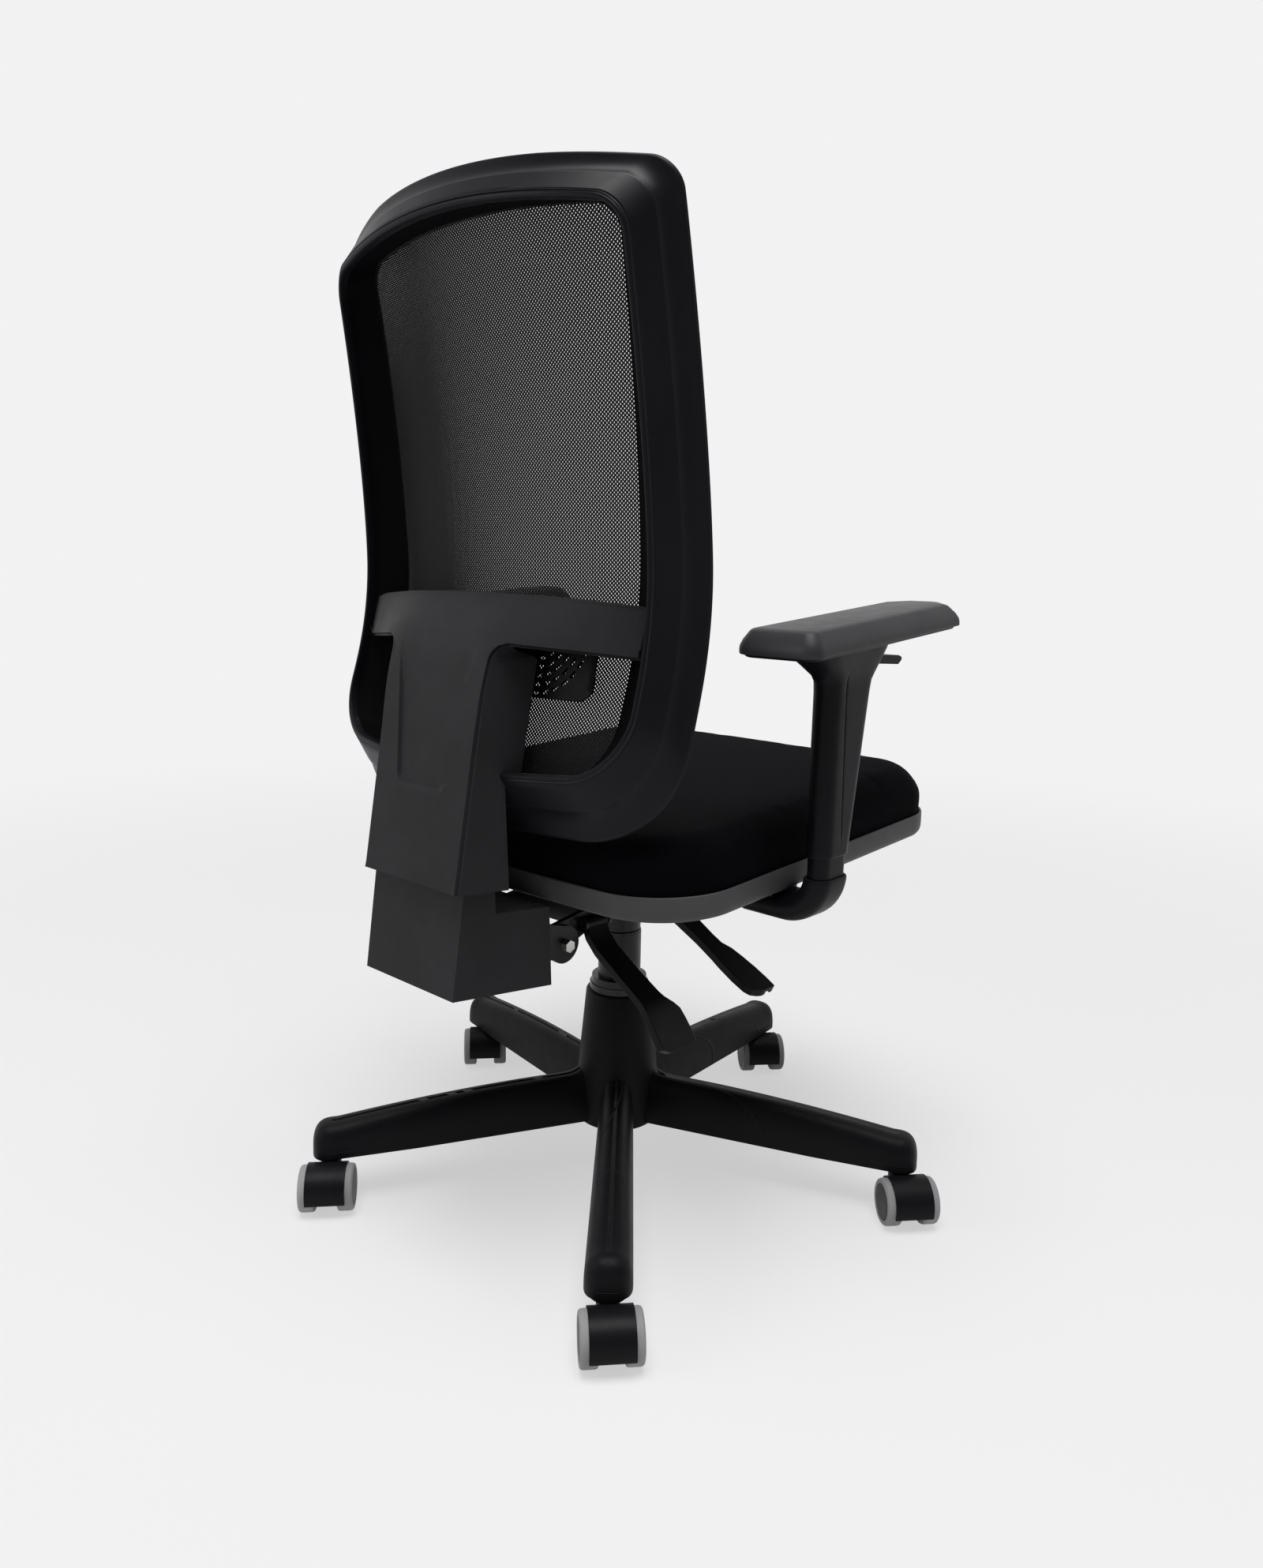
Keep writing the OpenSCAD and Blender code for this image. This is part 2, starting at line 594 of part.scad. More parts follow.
function cushion_ring(z, d, f) = [for (p = seat_outline(cushion_inset + d)) [p[0], p[1], z < 0 ? cushion_crown(p[1]) + z - f : z]];
module seat_cushion() {
    color([0.1, 0.1, 0.105]) on_seat() loft(concat(
        [cushion_ring(cushion_z, 1, 0), cushion_ring(shell_h, 0, 0)],
        [for (i = [0 : 5]) let (t = i * 18) cushion_ring(-cushion_round * (1 - sin(t)) - 0.01, cushion_round * (1 - cos(t)), 0)],
        [cushion_ring(-0.005, cushion_round * 2.5, 0)]), last = [0, 0, cushion_crown(0)]);
}
bolt_head_h = 5;
module seat_bolts() {
    color([0.5, 0.5, 0.52]) seat_bolt_at() {
        translate([0, 0, -flange_t - bolt_head_h]) cylinder(d = bolt_d * 1.7, h = bolt_head_h);
        translate([0, 0, -flange_t]) cylinder(d = bolt_d, h = flange_t + board_z + board_t - cut);
    }
}
module arm_bolts() {
    color([0.5, 0.5, 0.52]) arm_bolt_at() {
        translate([0, 0, -bracket_drop - bolt_head_h]) cylinder(d = bolt_d * 1.7, h = bolt_head_h);
        translate([0, 0, -bracket_drop]) cylinder(d = bolt_d, h = bracket_drop + board_z + board_t - cut);
    }
}

// ---- mechanism ----

flange_t = 4;
lug_t = cheek_t;
lug_x = housing_w / 2;
cheek_x = lug_x + 1;
pin_x = lug_x + 6;
pin_z = housing_z + 8;
pin_r = 3;
barrel_r = 5.5;
ear_t = 4;
ear_gap = 0.5;
module lever_ears(y) {
    for (s = [-1, 1]) translate([0, y + s * (lever_root_w / 2 + ear_gap + ear_t / 2), 0])
        along_y(-ear_t / 2, ear_t / 2) {
            translate([-pin_x, pin_z]) circle(pin_r + 4);
            translate([-pin_x, pin_z - pin_r - 4]) square([pin_x - lug_x + 1, 2 * pin_r + 8]);
        }
}
module housing_outer() {
    intersection() {
        translate([0, (housing_rear - housing_front) / 2, 0]) linear_extrude(far) round_rect(housing_w, housing_rear + housing_front, 10);
        along_x(-far, far) polygon([[-housing_front, housing_z + 22], [-housing_front + 30, housing_z], [housing_rear, housing_z],
            [housing_rear, far], [-housing_front, far]]);
        below_seat();
    }
}
module mechanism_housing() {
    color([0.16, 0.16, 0.165]) difference() {
        union() {
            difference() {
                housing_outer();
                translate([0, (housing_rear - housing_front) / 2, housing_z + housing_wall + 3])
                    linear_extrude(far) round_rect(housing_w - 2 * housing_wall, housing_rear + housing_front - 2 * housing_wall - 26, 6);
            }
            translate([0, 0, socket_z]) cylinder(r = socket_r, h = socket_top_z + housing_wall - socket_z);
            on_seat() translate([0, 5, -flange_t]) linear_extrude(flange_t) difference() {
                round_rect(2 * seat_bolt_x + 30, 185, 12);
                square([housing_w - 2 * housing_wall, 140], center = true);
            }
            for (s = [-1, 1]) along_x(s * (lug_x - lug_t / 2) - lug_t / 2, s * (lug_x - lug_t / 2) + lug_t / 2) {
                polygon([[housing_rear - 12, housing_z], [housing_rear - 12, housing_z + 22], [recline_y + 8, housing_z + 14],
                    [recline_y + 14, recline_z], [recline_y, recline_z - 14], [recline_y - 13, recline_z - 6]]);
                translate([recline_y, recline_z]) circle(14);
            }
            lever_ears(height_lever_y);
            lever_ears(recline_lever_y);
        }
        translate([0, 0, socket_z - cut]) cylinder(r = rod_d / 2 + run_fit, h = socket_top_z - socket_z + cut);
        translate([0, recline_y, recline_z]) bar_x(recline_d / 2 + run_fit, -far, far);
        translate([-pin_x, 0, pin_z]) bar_y(pin_r + run_fit, -far, far);
        seat_bolt_at(-flange_t - cut) cylinder(d = bolt_d + 2 * run_fit, h = shell_h);
    }
}
// Outline of a strip of thickness t along the points p
function unit(v) = v / norm(v);
function strip_n(p, i) = let (d = unit(p[min(i + 1, len(p) - 1)] - p[max(i - 1, 0)])) [-d[1], d[0]];
function strip(p, t) = concat([for (i = [0 : len(p) - 1]) p[i] + strip_n(p, i) * t / 2],
    [for (i = [len(p) - 1 : -1 : 0]) p[i] - strip_n(p, i) * t / 2]);
height_knee_x = 140;
height_path = [[-pin_x, pin_z], [-pin_x - 14, pin_z + 1], [-height_knee_x, pin_z - 33]];
height_paddle = [[-height_knee_x + 6, pin_z - 30], [-height_knee_x - 6, pin_z - 36], [-height_lever_reach, pin_z - 66]];
recline_knee_x = 140;
recline_path = [[-pin_x, pin_z], [-pin_x - 6, pin_z - 14], [-pin_x - 18, pin_z - 26], [-recline_knee_x, pin_z - 63]];
recline_paddle = [[-recline_knee_x + 6, pin_z - 60], [-recline_knee_x - 6, pin_z - 69], [-recline_lever_reach, pin_z - 111]];
module lever(path, paddle, y, w, py) {
    difference() {
        union() {
            along_y(y - lever_root_w / 2, y + lever_root_w / 2) translate([-pin_x, pin_z]) circle(barrel_r);
            along_y(y - lever_root_w / 2, y + lever_root_w / 2) polygon(strip(path, lever_t));
            along_y(py - w / 2, py + w / 2) polygon(strip(paddle, lever_t + 1));
        }
        translate([-pin_x, y, pin_z]) bar_y(pin_r + run_fit, -far, far);
    }
}
module height_lever() { color(plastic) lever(height_path, height_paddle, height_lever_y, paddle_w, height_lever_y - 1); }
module recline_lever() { color(plastic) lever(recline_path, recline_paddle, recline_lever_y, recline_paddle_w, recline_lever_y - 7); }
module lever_pins() {
    pin_hl = lever_root_w / 2 + ear_gap + ear_t;
    color([0.6, 0.6, 0.62]) for (y = [height_lever_y, recline_lever_y]) translate([-pin_x, y, pin_z]) {
        bar_y(pin_r, -pin_hl, pin_hl);
        bar_y(pin_r + 1.5, -pin_hl - 1.2, -pin_hl);
    }
}
hex_flats = 19;
module recline_bolt() {
    color([0.72, 0.72, 0.74]) translate([0, recline_y, recline_z]) {
        bar_x(recline_d / 2, -cheek_x - cheek_t, cheek_x + cheek_t + 10);
        for (s = [-1, 1]) translate([s > 0 ? cheek_x + cheek_t + slide_gap : -cheek_x - cheek_t - slide_gap - 8, 0, 0])
            rotate([0, 90, 0]) cylinder(d = hex_flats / cos(30), h = 8, $fn = 6);
    }
}

// ---- back bar and covers ----

bar_rear_y = lower_y - 20;            // rear face of the upright at the upper cover's foot
plate_z = recline_z + 8;
plate_front = recline_y + 28;
bar_foot_z = plate_z;
function lean_y(z) = bar_rear_y - (z - upper_z) * tan(slide_lean);
module back_bar() {
    color([0.17, 0.17, 0.175]) difference() {
        union() {
            for (s = [-1, 1]) along_x(s * (cheek_x + cheek_t / 2) - cheek_t / 2, s * (cheek_x + cheek_t / 2) + cheek_t / 2) {
                translate([recline_y, recline_z]) circle(20);
                polygon([[recline_y, recline_z - 14], [recline_y + 112, recline_z - 4], [recline_y + 112, recline_z + 22],
                    [recline_y + 40, recline_z + 32], [recline_y, recline_z + 20]]);
            }
            translate([-cheek_x - cheek_t / 2, plate_front, plate_z]) cube([2 * cheek_x + cheek_t, lean_y(plate_z) - bar_t - plate_front, bar_t]);
            translate([0, lean_y(bar_foot_z), bar_foot_z]) rotate([slide_lean, 0, 0])
                translate([-bar_w / 2, -bar_t, 0]) cube([bar_w, bar_t, (bar_top_z - bar_foot_z) / cos(slide_lean)]);
        }
        translate([0, recline_y, recline_z]) bar_x(recline_d / 2 + run_fit, -far, far);
    }
}
// A leaning prism whose rear face has the half width hw, with splayed sides, wall d inside
module spine_prism(y, z, hw, lean, d, len) {
    translate([0, y, z]) rotate([lean, 0, 0]) translate([0, 0, -far / 2]) linear_extrude(far) {
        e = d / cos(cover_splay);
        polygon([[-hw + e, -d], [hw - e, -d], [hw - e + (len - d) * tan(cover_splay), -len], [-hw + e - (len - d) * tan(cover_splay), -len]]);
    }
}
lower_front_y = 205;
tongue_y = bar_rear_y - 24;
post_boss_r = 6;
module lower_cover() {
    w = cover_wall;
    color(plastic) {
        difference() {
            intersection() {
                spine_prism(lower_y, lower_z, lower_hw, slide_lean, 0, 140);
                along_x(-far, far) polygon([[lower_front_y, lower_z], [far, lower_z], [far, lower_tongue_z], [tongue_y, lower_tongue_z],
                    [tongue_y, lower_front_z], [lower_front_y, lower_front_z]]);
            }
            intersection() {
                spine_prism(lower_y, lower_z, lower_hw, slide_lean, w, 140);
                along_x(-far, far) polygon([[lower_front_y + w, lower_z + w], [far, lower_z + w], [far, lower_tongue_z + cut],
                    [tongue_y + w, lower_tongue_z + cut], [tongue_y + w, lower_front_z - w], [lower_front_y + w, lower_front_z - w]]);
            }
            translate([-cheek_x - cheek_t - w, lower_front_y - cut, lower_z + w]) cube([2 * (cheek_x + cheek_t + w), w + 2 * cut, 54]);
        }
        for (s = [-1, 1]) translate([s * (bar_w / 2 - post_boss_r), lean_y(plate_z) - bar_t - 16, lower_z + w - 0.1])
            cylinder(r = post_boss_r, h = plate_z - lower_z - w + 0.1);
    }
}
// The T bar is a slice of a wide tube that leans forward more than the spine does
tbar_hw = open_hw + tbar_lap;
tbar_r = 450;
tbar_lean = 28.3;
tbar_foot_y = bar_rear_y - 36.4;
tbar_rise = 0.232e-3;
tbar_inner_x = 150;
flank_lean = 8.75;
// Inner flank of the frame beside the T bar, in plan, with a little to spare
tbar_spare = 1.8;
flank_z = (tbar_top_z + tbar_under_z) / 2 - 6;
function flank_y(x) = mix(face_y(open_hw, flank_z) + 4, rim_y(rim_hw - 9, flank_z) - 2.5, (x - open_hw) / (rim_hw - 9 - open_hw)) + tbar_spare;
module tbar() {
    intersection() {
        translate([0, tbar_foot_y, tbar_under_z]) rotate([tbar_lean, 0, 0]) translate([0, -tbar_r, -far / 4])
            difference() { cylinder(r = tbar_r, h = far / 2, $fn = 128); translate([0, 0, -cut]) cylinder(r = tbar_r - tbar_t, h = far, $fn = 128); }
        along_y(0, far) polygon(concat(
            [for (i = [0 : 20]) let (x = tbar_hw * (1 - i / 10)) [x, tbar_top_z - tbar_rise * x * x]],
            [[-tbar_hw, tbar_under_z - 5], [tbar_hw, tbar_under_z - 5]]));
        translate([0, flank_y(tbar_hw), flank_z]) rotate([flank_lean, 0, 0]) translate([0, -flank_y(tbar_hw), -far / 4])
            linear_extrude(far / 2) polygon([[-tbar_hw, far], [tbar_hw, far], [tbar_hw, flank_y(tbar_hw)], [tbar_inner_x, flank_y(tbar_inner_x)],
                [tbar_inner_x, 0], [-tbar_inner_x, 0], [-tbar_inner_x, flank_y(tbar_inner_x)], [-tbar_hw, flank_y(tbar_hw)]]);
    }
}
rail_gap_y = rim_y_mid() + 3.5;
function rim_y_mid() = side_y(rim_foot_z) + rim_bow(rim_foot_z) * pow(rim_hw / 1000, 2) * 1000;
tab_z = rim_foot_z - 22;
tab_h = 26;
guide_x = 30;
guide_w = 10;
// The upper cover's front steps forward this far above the foot of the ring's bead
foot_clear = 8.5;
guide_y = 222.5;
module upper_cover() {
    w = cover_wall;
    color(plastic) difference() {
        union() {
            difference() {
                intersection() {
                    spine_prism(upper_y, upper_z, upper_hw, upper_lean, 0, 110);
                    along_x(-far, far) upper_side(0);
                }
                intersection() {
                    spine_prism(upper_y, upper_z, upper_hw, upper_lean, w, 140);
                    along_x(-far, far) upper_side(w);
                }
            }
            tbar();
            for (s = [-1, 1]) translate([s > 0 ? bar_w / 2 + 7 : -upper_hw - 6, rail_gap_y, tab_z])
                cube([upper_hw - bar_w / 2 - 1, w, tab_h]);
            for (s = [-1, 1]) translate([s * guide_x - guide_w / 2, guide_y, lumbar_z]) rotate([slide_lean, 0, 0])
                translate([0, 0, -60]) cube([guide_w, 16, 64]);
        }
    }
}
// Side view of the upper cover: its front edge keeps behind the frame's foot rail
module upper_side(d) {
    front = d > 0 ? -60 : 0;
    crest_y = bar_rear_y - 62.8;
    behind = upper_y + 40;
    foot = upper_z - (d > 0 ? cut : 0);
    polygon([[rail_gap_y + front, foot], [behind, foot], [behind, tbar_top_z - (behind - crest_y) - 1.4 * d],
        [crest_y, tbar_top_z - 1.4 * d], [crest_y - 12 + front, tbar_top_z - 1.4 * d], [crest_y - 15 + front, tbar_under_z],
        [crest_y + front, rim_foot_z + 70], [crest_y + 19 + front, rim_foot_z + foot_clear], [rail_gap_y + front, rim_foot_z + foot_clear]]);
}

// ---- back frame ----

// Rear edge of the back in side view
function side_y(z) = let (d = z - waist_z) waist_y + (d > 0 ? head_sweep * pow(d / 1000, 1.5)
    : let (a = foot_sweep * pow(d / 1000, 2)) a * pow(1 + pow(a / foot_limit, 4), -0.25));
// The outlines' half widths are given at this height
taper_z = 500;
function rim_bow(z) = 0.6 + 0.17 * (z - rim_foot_z) / 500;
mesh_bow = 0.811;
// The ring's face keeps this far behind the net, because both are made of flat facets
net_gap = 0.7;
// The surface that the mesh lies on
function face_y(x, z) = side_y(z) - frame_depth - mesh_bow * (x * x - open_hw * open_hw) / 1000;
// Outlines in front view: [half width at the foot, its taper, foot z, foot bow, top z, top bow, foot corner, top corner]
rim = [rim_hw, -0.027, rim_foot_z, 0.3e-3, rim_top_z, 0.449e-3, 62, 28];
edge = [edge_hw, -0.030, edge_foot_z, 0, edge_top_z, 0.319e-3, 100, 45];
opening = [open_hw, 0, open_foot_z, 0.3e-3, open_top_z, 0.358e-3, 55, 22];
side_n = 12;
corner_n = 8;
width_n = 12;
ring_n = 2 * side_n + 4 * corner_n + 2 * width_n;
function outline(o, d) = [for (ab = loop_ab(o[0] - d, o[4] - o[2] - 2 * d, max(4, o[6] - d), max(4, o[7] - d), side_n, corner_n, width_n))
    let (x0 = ab[0] * (o[0] - d), foot = o[2] + d + o[3] * x0 * x0, top = o[4] - d - o[5] * x0 * x0, z = foot + ab[1] * (top - foot))
    [ab[0] * (o[0] - d + o[1] * (z - taper_z)), z]];
function rim_y(x, z) = side_y(z) + rim_bow(z) * (pow(rim_hw - 0.027 * (z - taper_z), 2) - x * x) / 1000;
// The crest of the head rail stands behind the mesh surface
crest_set_back = 18;
function edge_y(x, z) = face_y(x, z) + crest_set_back * max(0, 1 - pow(x / edge_hw, 2)) * pow(max(0, min(1, (z - rim_top_z + 29) / 55)), 2);
function mix(p, q, t) = p * (1 - t) + q * t;
a0 = outline(rim, 0);
a1 = outline(rim, 2.5);
a2 = outline(rim, 5);
b0 = outline(edge, 0);
b1 = outline(edge, 2);
b2 = outline(edge, mesh_inset);
c0 = outline(opening, 0);
function between(j, t, s, d) = let (p = mix(a0[j], b0[j], t), c = mix(a0[j], [0, 760], d / 400), y = mix(rim_y(a0[j][0], a0[j][1]), edge_y(b0[j][0], b0[j][1]), s))
    [p[0] + c[0] - a0[j][0], y, p[1] + c[1] - a0[j][1]];
// One section of the frame at station j, from the rear rim round the outside to the mesh opening
function section(j) = [
    [a2[j][0], rim_y(a2[j][0], a2[j][1]) - 2.5, a2[j][1]],
    [a1[j][0], rim_y(a1[j][0], a1[j][1]), a1[j][1]],
    [a0[j][0], rim_y(a0[j][0], a0[j][1]) - 2.5, a0[j][1]],
    between(j, 0.28, 0.30, 0),
    between(j, 0.52, 0.52, 0),
    between(j, 0.70, 0.72, 2),
    between(j, 0.93, 0.88, 0),
    [b0[j][0], edge_y(b0[j][0], b0[j][1]), b0[j][1]],
    [b1[j][0], face_y(b1[j][0], b1[j][1]) - 1, b1[j][1]],
    [b2[j][0], face_y(b2[j][0], b2[j][1]) + net_gap, b2[j][1]],
    let (m = mix(b2[j], c0[j], 0.5)) [m[0], face_y(m[0], m[1]) + net_gap, m[1]],
    [c0[j][0], face_y(c0[j][0], c0[j][1]) + net_gap, c0[j][1]],
    [c0[j][0], face_y(c0[j][0], c0[j][1]) + 4, c0[j][1]]];
sec_n = 13;
module back_frame() {
    pts = [for (j = [0 : ring_n - 1]) for (p = section(j)) p];
    faces = concat([for (j = [0 : ring_n - 1], i = [0 : sec_n - 1]) let (k = (j + 1) % ring_n, m = (i + 1) % sec_n) [j * sec_n + i, j * sec_n + m, k * sec_n + m]],
        [for (j = [0 : ring_n - 1], i = [0 : sec_n - 1]) let (k = (j + 1) % ring_n, m = (i + 1) % sec_n) [j * sec_n + i, k * sec_n + m, k * sec_n + i]]);
    color(plastic) polyhedron(points = pts, faces = faces, convexity = 10);
}
mesh_mid = [0, (open_top_z + open_foot_z) / 2];
mesh_rings = [0.22, 0.44, 0.64, 0.84, 1];
function mesh_ring(f, t) = [for (p = outline(edge, mesh_inset)) let (q = mesh_mid + (p - mesh_mid) * f) [q[0], face_y(q[0], q[1]) - t, q[1]]];
module back_mesh() {
    color([0.16, 0.16, 0.17]) loft(concat([for (f = mesh_rings) mesh_ring(f, 0)], [for (i = [4 : -1 : 0]) mesh_ring(mesh_rings[i], mesh_t)]),
        [0, face_y(0, mesh_mid[1]), mesh_mid[1]], [0, face_y(0, mesh_mid[1]) - mesh_t, mesh_mid[1]]);
}
module frame_screws() {
    color([0.5, 0.5, 0.52]) {
        for (s = [-1, 1]) translate([s * (bar_w / 2 + 22), 0, rim_foot_z - 5]) bar_y(2.5, rail_gap_y - 14, rail_gap_y + cover_wall + 2);
        for (s = [-1, 1], z = [tbar_under_z + 4, tbar_under_z + 18]) translate([s * (tbar_hw - 10), flank_y(tbar_hw - 10) - (z - flank_z) * tan(flank_lean), z])
            rotate([0, 0, s * 36]) bar_y(2, -6, 5);
    }
}
// The lumbar pad is a slice of a wide tube, leaning with the back
lumbar_r = 1000 / (2 * mesh_bow);
lumbar_front = 5;
function lumbar_y() = (side_y(lumbar_z - lumbar_h / 2) + side_y(lumbar_z + lumbar_h / 2)) / 2 - frame_depth + mesh_bow * open_hw * open_hw / 1000 + lumbar_front;
module lumbar_pad() {
    color(soft_black) {
        intersection() {
            translate([0, lumbar_y(), lumbar_z]) rotate([lumbar_lean, 0, 0]) translate([0, -lumbar_r, -lumbar_h])
                difference() { cylinder(r = lumbar_r + lumbar_t, h = 2 * lumbar_h, $fn = 128); translate([0, 0, -cut]) cylinder(r = lumbar_r, h = 2 * lumbar_h + 2 * cut, $fn = 128); }
            translate([0, 0, lumbar_z]) along_y(0, far) difference() {
                round_rect(2 * lumbar_hw, lumbar_h, 15);
                for (s = [-1, 1], i = [0 : 3]) translate([s * (58 + 20 * i), 0]) stadium(4, lumbar_h - 36 - 8 * i);
            }
        }
        for (s = [-1, 1]) lumbar_rib(s);
    }
}
rib_top = lumbar_z - 12;
rib_foot = lumbar_z - 45;
module lumbar_rib(s) {
    difference() {
        translate([s * guide_x - guide_w / 2, guide_y - slide_gap, lumbar_z]) rotate([slide_lean, 0, 0])
            translate([0, -30, rib_foot - lumbar_z]) cube([guide_w, 30, rib_top - rib_foot]);
        translate([0, lumbar_y(), lumbar_z]) rotate([lumbar_lean, 0, 0]) translate([0, -lumbar_r, -lumbar_h])
            cylinder(r = lumbar_r + lumbar_t - 0.5, h = 2 * lumbar_h, $fn = 128);
    }
}

// ---- arms; drawn for the sitter's left and mirrored for the right ----

bracket_z = elbow_rim_z - elbow_r + elbow_t / 2 - bracket_t;
bracket_drop = seat_under_z - bracket_z;
bracket_w = 44;
cup_t = elbow_t + 3;
cup_d = post_d + 7;
cup_h = 15;
pocket_z = elbow_rim_z - cup_h + 1;
post_top_z = shoulder_z - 40;
sleeve_w = post_w + 2 * (slide_gap + sleeve_wall) - 2;
module sided(s) { if (s > 0) children(); else mirror([1, 0, 0]) children(); }
module bracket(s) {
    color([0.25, 0.25, 0.26]) sided(s) difference() {
        intersection() {
            translate([bracket_end_x, arm_y - bracket_w / 2, bracket_z]) cube([arm_x - elbow_r - 10 - bracket_end_x, bracket_w, 60]);
            below_seat();
        }
        for (x = arm_bolt_xs) on_seat() translate([x, arm_y, -bracket_drop - 2 * bolt_head_h]) {
            cylinder(d = bolt_d + 2 * run_fit, h = far);
        }
    }
}
module elbow(s) {
    color(plastic) sided(s) difference() {
        union() {
            translate([arm_x, arm_y, elbow_rim_z - cup_h]) linear_extrude(cup_h) stadium(cup_t, cup_d);
            translate([arm_x - elbow_r, arm_y, elbow_rim_z]) rotate([90, 0, 0]) rotate([0, 0, -90])
                rotate_extrude(angle = 90) translate([elbow_r, 0]) stadium(elbow_t, cup_d);
            translate([arm_x - elbow_r, arm_y, elbow_rim_z - elbow_r]) rotate([0, -90, 0])
                linear_extrude(arm_x - elbow_r - elbow_end_x) stadium(elbow_t, cup_d);
        }
        translate([arm_x, arm_y, pocket_z]) linear_extrude(far) stadium(post_w + 2 * run_fit, post_d + 2 * run_fit);
        translate([0, arm_y - bracket_w / 2 - run_fit, bracket_z]) cube([arm_x - elbow_r - 10 + run_fit, bracket_w + 2 * run_fit, far]);
    }
}
module post(s) {
    color([0.2, 0.2, 0.21]) sided(s) translate([arm_x, arm_y, pocket_z]) linear_extrude(post_top_z - pocket_z) stadium(post_w, post_d);
}
sleeve_rear = post_d / 2 + slide_gap + sleeve_wall;
stad_n = 8;
// A stadium-like ring: w across X, from y0 to y1, at height z(y)
function arm_ring(w, y0, y1, z, slope = 0) = let (r = w / 2) concat(
    [for (i = [0 : stad_n]) let (t = 180 * i / stad_n) [r * cos(t), y1 - r + r * sin(t), z - slope * (y1 - r + r * sin(t))]],
    [for (i = [0 : stad_n]) let (t = 180 + 180 * i / stad_n) [r * cos(t), y0 + r + r * sin(t), z - slope * (y0 + r + r * sin(t))]]);
pad_slope = tan(pad_tilt);
neck_top = pad_z - slide_gap / cos(pad_tilt);
trigger_y = -35;
trigger_z = shoulder_z + 19;
trigger_pin_r = 3;
trigger_h = 8;
trigger_swing = 12;
module sleeve(s) {
    w0 = post_w + 2 * (slide_gap + sleeve_wall);
    color(plastic) sided(s) difference() {
        translate([arm_x, arm_y, 0]) loft([
            arm_ring(w0 - 2, -sleeve_rear + 1, sleeve_rear - 1, sleeve_z),
            arm_ring(w0, -sleeve_rear, sleeve_rear, sleeve_z + 3),
            arm_ring(w0, -mix(sleeve_rear, shoulder_d - sleeve_rear, 0.35), sleeve_rear, mix(sleeve_z, shoulder_z, 0.35)),
            arm_ring(w0 + 1, -mix(sleeve_rear, shoulder_d - sleeve_rear, 0.75), sleeve_rear, mix(sleeve_z, shoulder_z, 0.75)),
            arm_ring(w0 + 1, -shoulder_d + sleeve_rear, sleeve_rear, shoulder_z),
            arm_ring(w0 + 8, -shoulder_d + sleeve_rear - 8, sleeve_rear + 12, shoulder_z + 10, pad_slope / 2),
            arm_ring(w0 + 26, -shoulder_d + sleeve_rear - 18, sleeve_rear + 38, neck_top, pad_slope)]);
        translate([arm_x, arm_y, sleeve_z - cut]) linear_extrude(post_top_z + slide_gap - sleeve_z + cut)
            stadium(post_w + 2 * slide_gap, post_d + 2 * slide_gap);
        translate([arm_x, trigger_y, trigger_z]) {
            bar_x(trigger_pin_r + run_fit, -trigger_w / 2 - 4, trigger_w / 2 + 4);
            along_x(-trigger_w / 2 - slide_gap, trigger_w / 2 + slide_gap) {
                circle(trigger_pin_r + 2);
                polygon([[1, -20], [-far, -20], [-far, far * tan(trigger_swing + 3)], [0, trigger_pin_r + 2.5]]);
            }
        }
    }
}
module trigger(s) {
    color(plastic) sided(s) translate([arm_x, trigger_y, trigger_z]) {
        bar_x(trigger_pin_r, -trigger_w / 2 - 3.5, trigger_w / 2 + 3.5);
        along_x(-trigger_w / 2, trigger_w / 2) {
            circle(trigger_pin_r + 1.2);
            polygon([[0, -trigger_pin_r - 1], [-trigger_len + 6, -trigger_h + 1], [-trigger_len, -trigger_h / 2 + 1], [-trigger_len, 0], [-trigger_len + 6, 2], [0, trigger_pin_r + 1]]);
        }
    }
}
// Frame of the tilted pad: local z = 0 is the underside of its base
module on_pad(s) { sided(s) translate([arm_x, arm_y, pad_z]) rotate([-pad_tilt, 0, 0]) children(); }
pad_len = pad_front + pad_rear;
function pad_ring(z, d) = [for (ab = loop_ab(pad_hw - d, pad_len - 2 * d, 22 - d / 3, 22 - d / 3, 2, 5, 2))
    [ab[0] * (pad_hw - d), -pad_front - arm_y + d + ab[1] * (pad_len - 2 * d), z]];
pad_chamfer = 11.5;
module pad_base(s) {
    color(plastic) on_pad(s) loft([pad_ring(0, 4), pad_ring(pad_base_t * 0.6, 0.5), pad_ring(pad_base_t, 0)]);
}
module pad(s) {
    color(soft_black) on_pad(s) loft([pad_ring(pad_base_t, 0), pad_ring(pad_t * 0.5, 0), pad_ring(pad_t - 4, pad_chamfer * 0.62), pad_ring(pad_t, pad_chamfer)]);
}
module arm_bracket_l() { bracket(1); }
module arm_bracket_r() { bracket(-1); }
module arm_elbow_l() { elbow(1); }
module arm_elbow_r() { elbow(-1); }
module arm_post_l() { post(1); }
module arm_post_r() { post(-1); }
module arm_sleeve_l() { sleeve(1); }
module arm_sleeve_r() { sleeve(-1); }
module arm_trigger_l() { trigger(1); }
module arm_trigger_r() { trigger(-1); }
module arm_pad_base_l() { pad_base(1); }
module arm_pad_base_r() { pad_base(-1); }
module arm_pad_l() { pad(1); }
module arm_pad_r() { pad(-1); }

